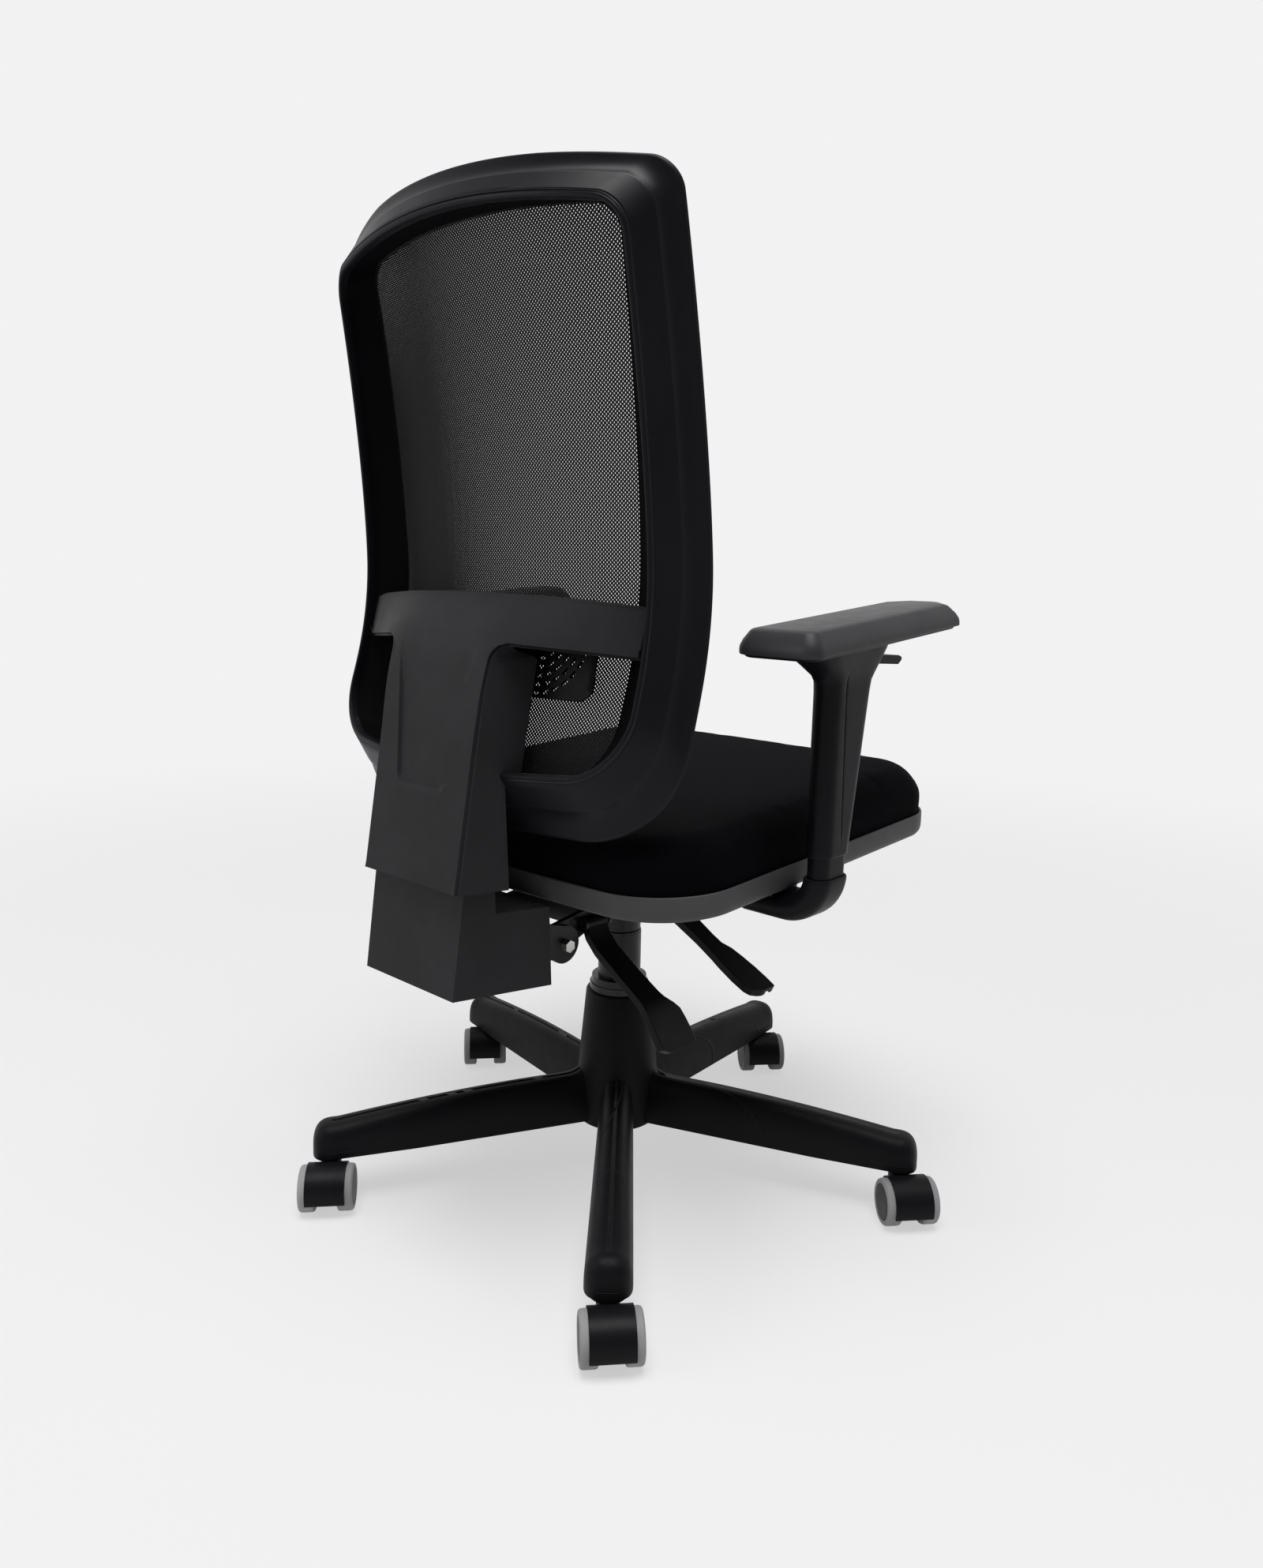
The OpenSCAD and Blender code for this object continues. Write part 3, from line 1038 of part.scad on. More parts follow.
star_base();
hub_ring();
gas_tube();
column_bush();
gas_rod();
caster_stems();
caster_hood_1();
caster_hood_2();
caster_hood_3();
caster_hood_4();
caster_hood_5();
caster_axle_1();
caster_axle_2();
caster_axle_3();
caster_axle_4();
caster_axle_5();
caster_wheels_1();
caster_wheels_2();
caster_wheels_3();
caster_wheels_4();
caster_wheels_5();
caster_treads_1();
caster_treads_2();
caster_treads_3();
caster_treads_4();
caster_treads_5();
mechanism_housing();
height_lever();
recline_lever();
lever_pins();
recline_bolt();
back_bar();
lower_cover();
upper_cover();
back_frame();
back_mesh();
frame_screws();
lumbar_pad();
seat_shell();
seat_board();
seat_cushion();
seat_bolts();
arm_bolts();
arm_bracket_l();
arm_bracket_r();
arm_elbow_l();
arm_elbow_r();
arm_post_l();
arm_post_r();
arm_sleeve_l();
arm_sleeve_r();
arm_trigger_l();
arm_trigger_r();
arm_pad_base_l();
arm_pad_base_r();
arm_pad_l();
arm_pad_r();
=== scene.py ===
# %% [markdown]
# # A swivel office chair, dressed
# The CAD frame already gives every part its place and its joints. This lesson gives the parts
# their real skins: softened mouldings, a stretched net, a crowned cushion and their finishes.
# Surfaces are worked out with numpy as grids of points, because a formula is exact and easy to read.

# %% Load the frame
import bpy, bmesh, math
import numpy as np
from mathutils import Matrix, Vector


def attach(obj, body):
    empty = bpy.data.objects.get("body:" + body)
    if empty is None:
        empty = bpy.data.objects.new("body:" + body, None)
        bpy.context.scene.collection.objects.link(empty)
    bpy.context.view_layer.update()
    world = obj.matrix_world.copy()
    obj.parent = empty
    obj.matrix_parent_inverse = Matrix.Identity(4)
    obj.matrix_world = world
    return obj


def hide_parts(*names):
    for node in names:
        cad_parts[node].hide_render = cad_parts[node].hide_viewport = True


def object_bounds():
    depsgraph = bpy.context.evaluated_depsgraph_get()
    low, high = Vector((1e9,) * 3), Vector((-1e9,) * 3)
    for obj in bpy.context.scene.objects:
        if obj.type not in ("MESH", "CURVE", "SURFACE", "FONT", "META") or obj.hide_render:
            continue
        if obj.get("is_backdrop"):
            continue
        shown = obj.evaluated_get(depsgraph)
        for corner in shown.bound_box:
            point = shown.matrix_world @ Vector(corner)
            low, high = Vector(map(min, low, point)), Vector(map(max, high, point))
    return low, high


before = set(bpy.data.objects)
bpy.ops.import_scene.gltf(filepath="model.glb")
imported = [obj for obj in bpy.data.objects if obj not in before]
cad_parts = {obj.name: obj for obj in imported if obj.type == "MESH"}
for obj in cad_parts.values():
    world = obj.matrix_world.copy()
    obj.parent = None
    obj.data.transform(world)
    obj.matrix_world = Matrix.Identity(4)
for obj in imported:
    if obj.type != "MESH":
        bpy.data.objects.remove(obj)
cad_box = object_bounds()
scene = bpy.context.scene
MM = 0.001
print("CAD box, metres:", [[round(v, 3) for v in corner] for corner in cad_box])

# %% [markdown]
# ## Camera
# The chair is seen from behind and from the sitter's right, at about the height of the arm pads.
# Three directions make the camera's turn: its right, its up and the way it looks, with a small roll.

# %% Camera
eye = Vector((-0.8478, 0.9147, 0.7031))
pitch, roll = math.radians(11.10), math.radians(1.128)
level = Vector((0.6738, -0.7389, 0)).normalized()
look = level * math.cos(pitch) - Vector((0, 0, 1)) * math.sin(pitch)
side = look.cross(Vector((0, 0, 1))).normalized()
head = side.cross(look)
side, head = side * math.cos(roll) + head * math.sin(roll), head * math.cos(roll) - side * math.sin(roll)
camera = bpy.data.objects.new("camera", bpy.data.cameras.new("camera"))
camera.matrix_world = Matrix((side, head, -look)).transposed().to_4x4()
camera.location = eye
camera.data.lens, camera.data.sensor_width, camera.data.sensor_fit = 25.546, 36, "AUTO"
camera.data.clip_start = 0.05
scene.collection.objects.link(camera)
scene.camera = camera
print("camera looks along", [round(v, 3) for v in look])

# %% [markdown]
# ## Helpers for surfaces
# Nearly every new piece is one idea: rows of points, joined to their neighbours by four-sided
# faces. A piece is then given its body to ride on, its finish, and the CAD nodes it stands for.

# %% Grids and pieces
def ramp(x, a, b):
    """0 below a, 1 above b, and the smooth curve 3t^2 - 2t^3 between them."""
    t = np.clip((np.asarray(x, float) - a) / (b - a), 0, 1)
    return t * t * (3 - 2 * t)


def grid_faces(rows, columns, ring=False, start=0, flip=False):
    """Corner numbers of the squares of a grid kept row by row; ring joins the last column to the first."""
    r, c = np.meshgrid(np.arange(rows - 1), np.arange(columns - (not ring)), indexing="ij")
    a, b = r * columns + c, r * columns + (c + 1) % columns
    quads = np.stack([a, b, b + columns, a + columns], -1).reshape(-1, 4) + start
    return quads[:, ::-1] if flip else quads


def end_faces(rows, n):
    """One many-sided face for the first ring of n points and one for the last."""
    return [list(range(n)), list(range((rows - 1) * n, rows * n))]


def merge(mesh, distance=1e-6, outward=False):
    """Points closer than `distance` become one, and a closed surface can be told to face outwards."""
    work = bmesh.new()
    work.from_mesh(mesh)
    bmesh.ops.remove_doubles(work, verts=work.verts, dist=distance)
    loose = [v for v in work.verts if not v.link_faces]
    bmesh.ops.delete(work, geom=loose, context="VERTS")
    if outward:
        bmesh.ops.recalc_face_normals(work, faces=work.faces)
    work.to_mesh(mesh)
    work.free()


def piece(name, mesh, finish, body, *hides, crease=40):
    """A mesh becomes a piece: smooth up to `crease` degrees, with its finish, its body and its nodes."""
    mesh.materials.clear()
    mesh.materials.append(finish)
    mesh.shade_smooth()
    mesh.set_sharp_from_angle(angle=math.radians(crease))
    obj = bpy.data.objects.new(name, mesh)
    scene.collection.objects.link(obj)
    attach(obj, body)
    if hides:
        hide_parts(*hides)
    print(f"{name}: {len(mesh.polygons)} faces on {body}")
    return obj


def mesh_of(name, points, faces, outward=True):
    """A mesh from an array of points and lists of faces, with doubles merged and faces turned out."""
    mesh = bpy.data.meshes.new(name)
    mesh.from_pydata(np.asarray(points, float).reshape(-1, 3).tolist(), [],
        [list(map(int, f)) for f in faces])
    merge(mesh, outward=outward)
    return mesh


def lofted(name, rings, flip=False):
    """A closed mesh from an array of rings: squares between them and one face at each end."""
    rows, n = rings.shape[:2]
    return mesh_of(name, rings, grid_faces(rows, n, ring=True, flip=flip).tolist() + end_faces(rows, n))


def joined(parts):
    """Several (points, faces) pairs become one; corner numbers move up by the points before them."""
    points, faces, start = [], [], 0
    for p, f in parts:
        p = np.asarray(p, float).reshape(-1, 3)
        points.append(p)
        faces += [[int(i) + start for i in g] for g in f]
        start += len(p)
    return np.concatenate(points), faces


def modify(obj, kind, **values):
    """Adds a modifier of that kind and sets its values."""
    mod = obj.modifiers.new(kind.lower(), kind)
    for key, value in values.items():
        setattr(mod, key, value)


def round_edges(obj, width, segments, sharp, **values):
    """A bevel `width` metres wide on every edge sharper than `sharp` degrees."""
    modify(obj, "BEVEL", width=width, segments=segments, limit_method="ANGLE",
        angle_limit=math.radians(sharp), harden_normals=True, **values)


def evaluated(obj):
    """The object as its modifiers and the solver leave it."""
    return obj.evaluated_get(bpy.context.evaluated_depsgraph_get())


def lathe(profile, turns=64):
    """(points, faces) of a profile of (radius, height) rows, turned round Z; rows run up the outside."""
    profile = np.asarray(profile, float)
    t = np.linspace(0, 2 * np.pi, turns, endpoint=False)
    points = np.stack([profile[:, :1] * np.cos(t), profile[:, :1] * np.sin(t),
        np.repeat(profile[:, 1:], turns, 1)], -1)
    return points.reshape(-1, 3), grid_faces(len(profile), turns, ring=True)


def block(x0, x1, y0, y1, z0, z1):
    """(points, faces) of a box, given as two ends on each axis; z0 and z1 may differ at each x end."""
    za, zb = np.broadcast_to(z0, 2), np.broadcast_to(z1, 2)
    p = [[x, y, z] for i, x in enumerate((x0, x1)) for y in (y0, y1) for z in (za[i], zb[i])]
    return np.array(p), [[0, 1, 3, 2], [4, 6, 7, 5], [0, 4, 5, 1], [2, 3, 7, 6], [0, 2, 6, 4], [1, 5, 7, 3]]


def turn(points, degrees, move=(0, 0, 0)):
    """Points turned about Z by an angle, then moved."""
    c, s = math.cos(math.radians(degrees)), math.sin(math.radians(degrees))
    return np.asarray(points) @ np.array([[c, s, 0], [-s, c, 0], [0, 0, 1]]) + np.asarray(move)


print("helpers ready")

# %% [markdown]
# ## Moulded plastic
# Most of the chair is black injection-moulded plastic. Real plastic is never one flat black: the
# tool leaves a fine spark grain, hands polish it unevenly, and dust lightens it a little. A noise
# at three scales does this: fine for the grain, middling for the gloss, wide for the colour.

# %% Moulded plastic
def put(node, values):
    """Fills a node by name or number: a socket is joined to that input, and a plain value is set there or
    on the node itself."""
    for key, value in values.items():
        if isinstance(value, bpy.types.NodeSocket):
            node.id_data.links.new(value, node.inputs[key])
        elif isinstance(key, int) or key in node.inputs:
            node.inputs[key].default_value = value
        else:
            setattr(node, key, value)
    return node


def adder(tree):
    """A call that adds a node to this tree and fills it."""
    def add(kind, **values):
        return put(tree.nodes.new("ShaderNode" + kind), values)
    return add


def maths(add, operation, *terms):
    """The result of a Math node on its terms, each a socket or a plain number."""
    return put(add("Math", operation=operation), dict(enumerate(terms))).outputs[0]


def shader_start(name):
    """A new material, its surface node, each point's place on the object, and a call to add a node."""
    finish = bpy.data.materials.new(name)
    finish.use_nodes = True
    add = adder(finish.node_tree)
    return finish, finish.node_tree.nodes["Principled BSDF"], add("TexCoord").outputs["Object"], add


def tinted(add, noise, colour, dark, light):
    """A colour ramp that follows a noise, from `dark` times the colour to `light` times it."""
    tint = add("ValToRGB", Fac=noise.outputs["Fac"])
    for end, times in zip(tint.color_ramp.elements, (dark, light)):
        end.color = (*[c * times for c in colour], 1)
    return tint


def moulded(name, colour, roughness=0.45, gloss=0.3, grain=900, depth=0.12, metal=0.0):
    """Grained plastic or paint: a wide noise varies its colour, a middling one its roughness, and a
    fine one is the bump."""
    finish, bsdf, place, add = shader_start(name)
    wide, mid, fine = [add("TexNoise", Scale=scale, Detail=detail, Vector=place)
                       for scale, detail in ((9, 4), (60, 6), (grain, 2))]
    tint = tinted(add, wide, colour, 0.8, 1.25)
    tint.color_ramp.elements[0].position, tint.color_ramp.elements[1].position = 0.3, 0.75
    spread = put(add("MapRange"), {"Value": mid.outputs["Fac"], "To Min": roughness - 0.07,
        "To Max": roughness + 0.09})
    bump = add("Bump", Strength=depth, Distance=0.0004, Height=fine.outputs["Fac"])
    put(bsdf, {"Base Color": tint.outputs["Color"], "Roughness": spread.outputs["Result"],
               "Normal": bump.outputs["Normal"], "Specular IOR Level": gloss, "Metallic": metal})
    return finish


cover_black = moulded("cover_plastic", (0.0190, 0.0186, 0.0208), 0.52, 0.14, grain=1400, depth=0.2)
frame_black = moulded("frame_plastic", (0.0060, 0.0060, 0.0082), 0.38, 0.13)
shell_black = moulded("shell_plastic", (0.054, 0.054, 0.055), 0.5, 0.25, grain=1200, depth=0.25)
arm_black = moulded("arm_plastic", (0.0046, 0.0045, 0.0062), 0.40, 0.11)
hood_black = moulded("hood_plastic", (0.0062, 0.0062, 0.0076), 0.42, 0.10)
disc_black = moulded("disc_plastic", (0.020, 0.020, 0.021), 0.45, 0.14)
bush_black = moulded("bush_plastic", (0.006, 0.006, 0.007), 0.25, 0.3, depth=0.03)
paint_black = moulded("powder_coat", (0.006, 0.006, 0.0068), 0.36, 0.25, grain=500, depth=0.10)
pad_skin = moulded("pad_skin", (0.029, 0.0285, 0.0315), 0.42, 0.18, grain=1800, depth=0.15)
tread_grey = moulded("tread_rubber", (0.29, 0.292, 0.290), 0.55, 0.2, depth=0.05)
bright_steel = moulded("ground_steel", (0.55, 0.56, 0.58), 0.22, 0.5, grain=300, depth=0.02, metal=1.0)
zinc_plate = moulded("zinc_plate", (0.62, 0.62, 0.60), 0.34, 0.5, grain=400, depth=0.05, metal=1.0)
ply = moulded("plywood", (0.50, 0.36, 0.20), 0.6, 0.3, grain=250, depth=0.2)
print("finishes:", len(bpy.data.materials))

# %% [markdown]
# ## The foot
# The foot is one nylon moulding: a tall hub with five legs, open underneath and stiffened by ribs.
# A leg is a rounded bar that drops in a curve and ends in a round tip. It is worked out as rows
# that start at the bottom edge, climb the wall and close over the top on the middle line. Fine seams
# cross it. Each point keeps its distance from them, and the finish presses a groove where it is nought.

# %% Leg sizes
leg_first, leg_step, stem_r = 132, 72, 0.335
tip_mid, tip_hw, root_hw, wall = 0.331, 0.023, 0.020, 0.004
tip_power, rib_lap = 0.75, 0.0004


def leg_top(x):
    """Height of the leg's ridge: level at the hub, then down by 21.5 mm as the 1.8th power of the way out."""
    return 0.1105 - 0.0215 * np.clip((x - 0.05) / 0.275, 0, 1) ** 1.8


def leg_under(x):
    """Height of the lower edge: 57 mm at the hub, straight down to 53 mm."""
    return 0.057 - 0.004 * np.clip((x - 0.05) / 0.19, 0, 1)


def leg_half(x):
    """Half the leg's width, a straight line from root to tip."""
    return root_hw + (tip_hw - root_hw) * np.clip((x - 0.027) / (tip_mid - 0.027), 0, 1)


def leg_rows(up, inset=0.0, drop=0.0):
    """Rows of a leg's skin, and how far each point lies from its two seams. `up` is 0 at the lower edge
    and 1 on the middle line; the section is a rounded square, |y|^3 + z^3 = 1. Columns run along one
    side, round the tip and back. The panel's seam is where x = 0.215 + 0.085 across^2.2 and, round the
    tip, a fifth of the way up; the other seam crosses the top in an S."""
    out = np.linspace(0.030, tip_mid, 66)[:-1]
    arc = np.radians(np.linspace(-90, 90, 25))
    square = np.stack([np.cos(arc), np.sin(arc)])
    square = np.sign(square) * np.abs(square) ** tip_power
    x0 = np.concatenate([out, tip_mid + 0 * arc, out[::-1]])
    reach = np.concatenate([0 * out, square[0], 0 * out]) * (tip_hw - inset)
    turned = np.concatenate([-(leg_half(out) - inset), square[1] * (tip_hw - inset),
        leg_half(out[::-1]) - inset])
    phi = np.atleast_1d(up)[:, None] * np.pi / 2
    across, rise = np.where(phi > 1.57, 0, np.cos(phi)) ** (2 / 3), np.sin(phi) ** (2 / 3)
    x, y = x0 + reach * across, turned * across
    fillet = (inset == 0) * 0.008 * np.exp(-np.maximum(x - 0.0455, 0) / 0.007) * ramp(rise, 0.55, 1)
    z = leg_under(x) + (leg_top(x) - drop - leg_under(x)) * rise + fillet
    panel = np.minimum(0.55 * (x - 0.215 - 0.085 * across ** 2.2), 0.036 * (rise - 0.2))
    curve = 0.8 * (y - (0.30 - 1.60 * ramp(x, 0.05, 0.235)) * leg_half(x))
    return np.stack([x, y, z], -1), np.stack([panel, curve, 0 * x], -1)


def leg_rib(x, thick=0.003):
    """A cross rib: the inner section's outline at x, as one many-sided face at each end of its thickness."""
    t = np.radians(np.linspace(0, 180, 25))
    y = np.sign(np.cos(t)) * np.abs(np.cos(t)) ** (2 / 3) * (leg_half(x) - wall + rib_lap)
    z = leg_under(x) + (leg_top(x) - wall + rib_lap - leg_under(x)) * np.sin(t) ** (2 / 3)
    n = len(t)
    points = np.concatenate([np.stack([np.full(n, end), y, z], -1) for end in (x, x + thick)])
    first, last = end_faces(2, n)
    return points, grid_faces(2, n, ring=True, flip=True).tolist() + [first, last[::-1]]


outer, seams = leg_rows(np.linspace(0, 1, 34))
inner, _ = leg_rows([1, 0.8, 0.5, 0.25, 0], inset=wall, drop=wall)
skin = np.concatenate([outer, inner])
print("leg rows and columns:", skin.shape[:2])

# %% Leg finish
def seamed(name, like, attribute, width):
    """A moulded finish with grooves where either part of the attribute is under `width` metres."""
    finish = moulded(name, *like)
    bsdf, add = finish.node_tree.nodes["Principled BSDF"], adder(finish.node_tree)
    far = add("SeparateXYZ", Vector=add("Attribute", attribute_name=attribute).outputs["Vector"])
    nearest = maths(add, "MINIMUM", *[maths(add, "ABSOLUTE", far.outputs[k]) for k in range(2)])
    groove = put(add("MapRange", interpolation_type="SMOOTHSTEP"), {"Value": nearest, "From Max": width})
    grain = bsdf.inputs["Normal"].links[0].from_socket
    cut = add("Bump", Distance=0.0006, Strength=1.0, Height=groove.outputs["Result"], Normal=grain)
    put(bsdf, {"Normal": cut.outputs["Normal"]})
    return finish


satin_leg = seamed("leg_plastic", ((0.0042, 0.0042, 0.0054), 0.50, 0.11), "seams", 0.0007)
print("leg finish ready")

# %% Foot mesh
# profiles of (radius, height) in millimetres
hub_outside = [(21, 53.5), (46.3, 53.5), (47.5, 54.7), (47.5, 108), (47.45, 112.5), (38.6, 211.5),
    (37.6, 213.6), (36.6, 214), (25.2, 214), (25.2, 58), (21, 58), (21, 53.5)]
boss_sides = [(5.6, 53.02), (10.5, 53.02), (10.5, 86), (5.6, 86)]
collar_sides = [(11, 50.5), (18.6, 50.5), (19.2, 51.1), (19.2, 53.3), (11, 53.3), (11, 50.5)]
rib_at, keel_half = (0.1175, 0.235, 0.310), 0.0015
keel = [block(x0, x1, -keel_half, keel_half, [leg_under(x0), leg_under(x1)],
    [leg_top(x0) - wall, leg_top(x1) - wall]) for x0, x1 in zip(np.linspace(0.05, 0.29, 9),
    np.linspace(0.08, 0.32, 9))]
at_tip = [(points + [stem_r, 0, 0], faces) for points, faces in (lathe(np.array(boss_sides) * MM, 32),
                                                                 lathe(np.array(collar_sides) * MM, 48))]
leg = joined([(skin, grid_faces(*skin.shape[:2], flip=True)), *[leg_rib(x) for x in rib_at], *keel,
    *at_tip])
leg_parts = [(turn(leg[0], leg_first + leg_step * k), leg[1]) for k in range(5)]
hub = lathe(np.array(hub_outside) * MM, 96)
points, faces = joined([hub, *leg_parts])
foot = bpy.data.meshes.new("foot_moulding")
foot.from_pydata(points.tolist(), [], faces)
kept = np.ones((len(points), 3))
for k, start in enumerate(np.cumsum([len(hub[0])] + [len(p) for p, _ in leg_parts[:-1]])):
    kept[start:start + seams.size // 3] = seams.reshape(-1, 3)
foot.attributes.new("seams", "FLOAT_VECTOR", "POINT").data.foreach_set("vector", kept.ravel())
merge(foot)
piece("foot_moulding", foot, satin_leg, "base", "star_base", crease=32)

# %% [markdown]
# ## Column
# The ring at the hub's mouth, the tube, the bush, the ground rod, the bolts and the pins are turned
# parts, and the seat board is a flat sheet. Their CAD shapes are already exact, so they stay and
# only take their finishes.

# %% Column finishes
def finish_node(node, finish):
    """A CAD node whose shape is right keeps it and takes a finish in its material slot."""
    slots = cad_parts[node].data.materials
    slots.clear()
    slots.append(finish)


for finish, nodes in ((bush_black, ("hub_ring", "column_bush")),
        (paint_black, ("gas_tube", "caster_stems")), (bright_steel, ("gas_rod", "lever_pins")),
        (ply, ("seat_board",)), (zinc_plate, ("seat_bolts", "arm_bolts", "frame_screws"))):
    for node in nodes:
        finish_node(node, finish)
print("turned parts finished")

# %% [markdown]
# ## Softened mouldings
# The housing, the bar, its lower cover, and the arms' brackets, posts and triggers keep their CAD
# shape, but a real moulding or bent plate has no knife edge: each edge catches a thin line of light.
# A copy of the CAD mesh has its doubles merged and its flat facets joined, and a Bevel rounds every
# edge sharper than 30 degrees.

# %% Softened copies
def softened(node, width, finish, body, sharp=30, reshape=None):
    """The node's own mesh, merged and with flat neighbours joined, its edges rounded to `width` metres.
    `reshape` may move the points first."""
    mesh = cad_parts[node].data.copy()
    work = bmesh.new()
    work.from_mesh(mesh)
    bmesh.ops.remove_doubles(work, verts=work.verts, dist=3e-6)
    bmesh.ops.dissolve_limit(work, angle_limit=math.radians(0.5), verts=work.verts, edges=work.edges)
    work.to_mesh(mesh)
    work.free()
    if reshape:
        at = np.empty(len(mesh.vertices) * 3)
        mesh.vertices.foreach_get("co", at)
        mesh.vertices.foreach_set("co", reshape(at.reshape(-1, 3)).ravel())
    if mesh.has_custom_normals:
        mesh.attributes.remove(mesh.attributes["custom_normal"])
    obj = piece(node + "_soft", mesh, finish, body, node, crease=sharp)
    round_edges(obj, width, 2, sharp, use_clamp_overlap=True)


for node, width, finish, body in (("mechanism_housing", 0.0012, paint_black, "seat"),
                                  ("back_bar", 0.0010, paint_black, "back_carrier"),
                                  ("lower_cover", 0.0009, cover_black, "back_carrier"),
                                  *[(f"arm_bracket_{t}", 0.0010, paint_black, "seat") for t in "lr"],
                                  *[(f"arm_post_{t}", 0.0012, arm_black, "seat") for t in "lr"],
                                  *[(f"arm_trigger_{t}", 0.0010, arm_black, f"trigger_{t}") for t in "lr"]):
    softened(node, width, finish, body)
bolt_line, shank_r, nut_cut = np.array([0, 0.150, 0.318]), 0.0075, 0.38


def slimmer_nuts(points):
    """Whatever lies outside the shank shrinks about the bolt's line, to 0.62 of its size."""
    off = (points - bolt_line) * [0, 1, 1]
    far = np.linalg.norm(off, axis=1, keepdims=True)
    return points - off * np.where(far > shank_r, nut_cut, 0)


softened("recline_bolt", 0.0006, zinc_plate, "seat", reshape=slimmer_nuts)

# %% [markdown]
# ## Elbows
# An elbow carries each arm. It is one oval tube, widest at the rim that the post stands in, and it
# turns down and inwards through a quarter circle of 36.5 mm. All measures here are in millimetres.

# %% Elbows
bend_r, bend_x, bend_y, rim_z = 36.5, 243.5, 8, 409.0


def elbow_ring(s, a, b, n=14):
    """A ring of the tube `s` mm along it: an oval of half sizes a in the bend's plane and b across it."""
    t, past = min(s / bend_r, math.pi / 2), max(s - bend_r * math.pi / 2, 0)
    u = np.radians(np.linspace(0, 180, n))
    half = np.stack([a * np.cos(u), b - a + a * np.sin(u)], -1)
    out, across = np.concatenate([half, -half]).T
    return np.stack([bend_x - past + (bend_r + out) * math.cos(t), bend_y + across,
        rim_z - (bend_r + out) * math.sin(t)], -1)


# rows of (way along the tube, half size in the bend's plane, half size across it)
lip = [(4.0, 12.1, 22.6), (0.7, 12.1, 22.6), (0.1, 12.7, 23.2), (0.0, 14.0, 24.8), (0.5, 14.8, 25.7),
    (1.6, 15.0, 26.0), (3.0, 15.0, 26.0)]
turn_rows = [(bend_r * t, 15 - 1.5 * t / 1.571, 26) for t in np.linspace(0.16, math.pi / 2, 16)]
quarter = bend_r * 1.5708
tail = [(quarter + 14, 13.5, 26), (quarter + 46.5, 13.5, 26), (quarter + 48.2, 12.4, 24.6)]
rings = np.array([elbow_ring(*row) for row in lip + turn_rows + tail])
for side, tag in ((1, "l"), (-1, "r")):
    mesh = lofted(f"arm_elbow_tube_{tag}", rings * [side * MM, MM, MM])
    piece(f"arm_elbow_tube_{tag}", mesh, arm_black, "seat", f"arm_elbow_{tag}", crease=45)

# %% [markdown]
# ## Levers
# Each lever is one bent plate of a changing width. Its rows give where the plate's middle runs (x, z)
# and its two edges (y), in millimetres. The strap is folded down at its edges by a small flange.

# %% Levers
def bent_plate(rows, thick, flange):
    """(points, faces) of a plate through the rows. `flange` is the depth of its edges below its middle,
    in thicknesses, and a flange is as wide as the plate is thick, or 0.3 of a narrow plate."""
    x, z, y0, y1 = (np.array(rows) * MM).T
    along = np.stack([np.gradient(x), np.gradient(z)], -1)
    along /= np.linalg.norm(along, axis=1, keepdims=True)
    up = np.stack([along[:, 1], -along[:, 0]], -1)
    up *= np.sign(up[:, 1:])
    bead = np.minimum(thick, (y1 - y0) * 0.3)
    corners = ((y0, 0.5), (y1, 0.5), (y1, -flange), (y1 - bead, -flange), (y1 - bead, -0.5),
        (y0 + bead, -0.5), (y0 + bead, -flange), (y0, -flange))
    points = np.stack([np.stack([x + up[:, 0] * level * thick, y, z + up[:, 1] * level * thick], -1)
                       for y, level in corners], 1)
    first, last = end_faces(*points.shape[:2])
    return points, grid_faces(*points.shape[:2], ring=True).tolist() + [first[::-1], last]


pin_x, pin_z = -61.5, 333.0
barrel_sides = np.array([(3.1, -15), (5.5, -15), (5.5, 15), (3.1, 15), (3.1, -15)]) * MM
levers = {"height_lever": [(-61.5, 333, -15, 15), (-75.5, 334, -15, 15), (-100, 321, -13, 13),
    (-128, 306, -11, 12), (-140, 299, -12, 12), (-150, 294, -17, 13), (-162, 288, -19, 15),
    (-180, 279.5, -20, 17), (-196, 272, -19.5, 17), (-202, 269, -19, 14), (-206, 267.2, -18.5, 7),
    (-208, 266.2, -18, 0)], "recline_lever": [(-61.5, 333, 90, 120), (-67.5, 319, 90, 120),
    (-79.5, 307, 90, 120), (-110, 287, 90, 120), (-138, 270, 89, 120.5), (-144, 266, 87, 121),
    (-150, 260, 80, 121.5), (-155, 254, 75, 122), (-162, 245, 74, 122.5), (-170, 234, 73.5, 123),
    (-173.5, 228, 73.3, 122), (-176, 223, 73.2, 113)], }
for node, rows in levers.items():
    points, faces = lathe(barrel_sides, 32)
    middle = np.array([pin_x, (rows[0][2] + rows[0][3]) / 2, pin_z]) * MM
    barrel = (np.stack([points[:, 0], points[:, 2], -points[:, 1]], -1) + middle, faces)
    mesh = mesh_of(node + "_plate", *joined([bent_plate(rows, 0.005, 1.3), barrel]))
    made = piece(node + "_plate", mesh, arm_black, node, node, crease=30)
    round_edges(made, 0.0008, 2, 35)

# %% [markdown]
# ## Casters
# Each caster is a black hood over two wheels on one axle. A wheel is a dark dished disc in a soft
# light-grey tread with rounded shoulders. Both are turned shapes: a profile of radius and width is
# carried round the axle.

# %% Wheels and treads
caster_facing, trail, axle_z = 49, 0.030, 0.025
# the hood: its radius and half width within which it stays, its growth along the axle, and the share
# that is left of each angle below the axle
hood_in_r, hood_in_w, hood_growth, rear_share = 0.02, 0.012, 1.06, 0.40


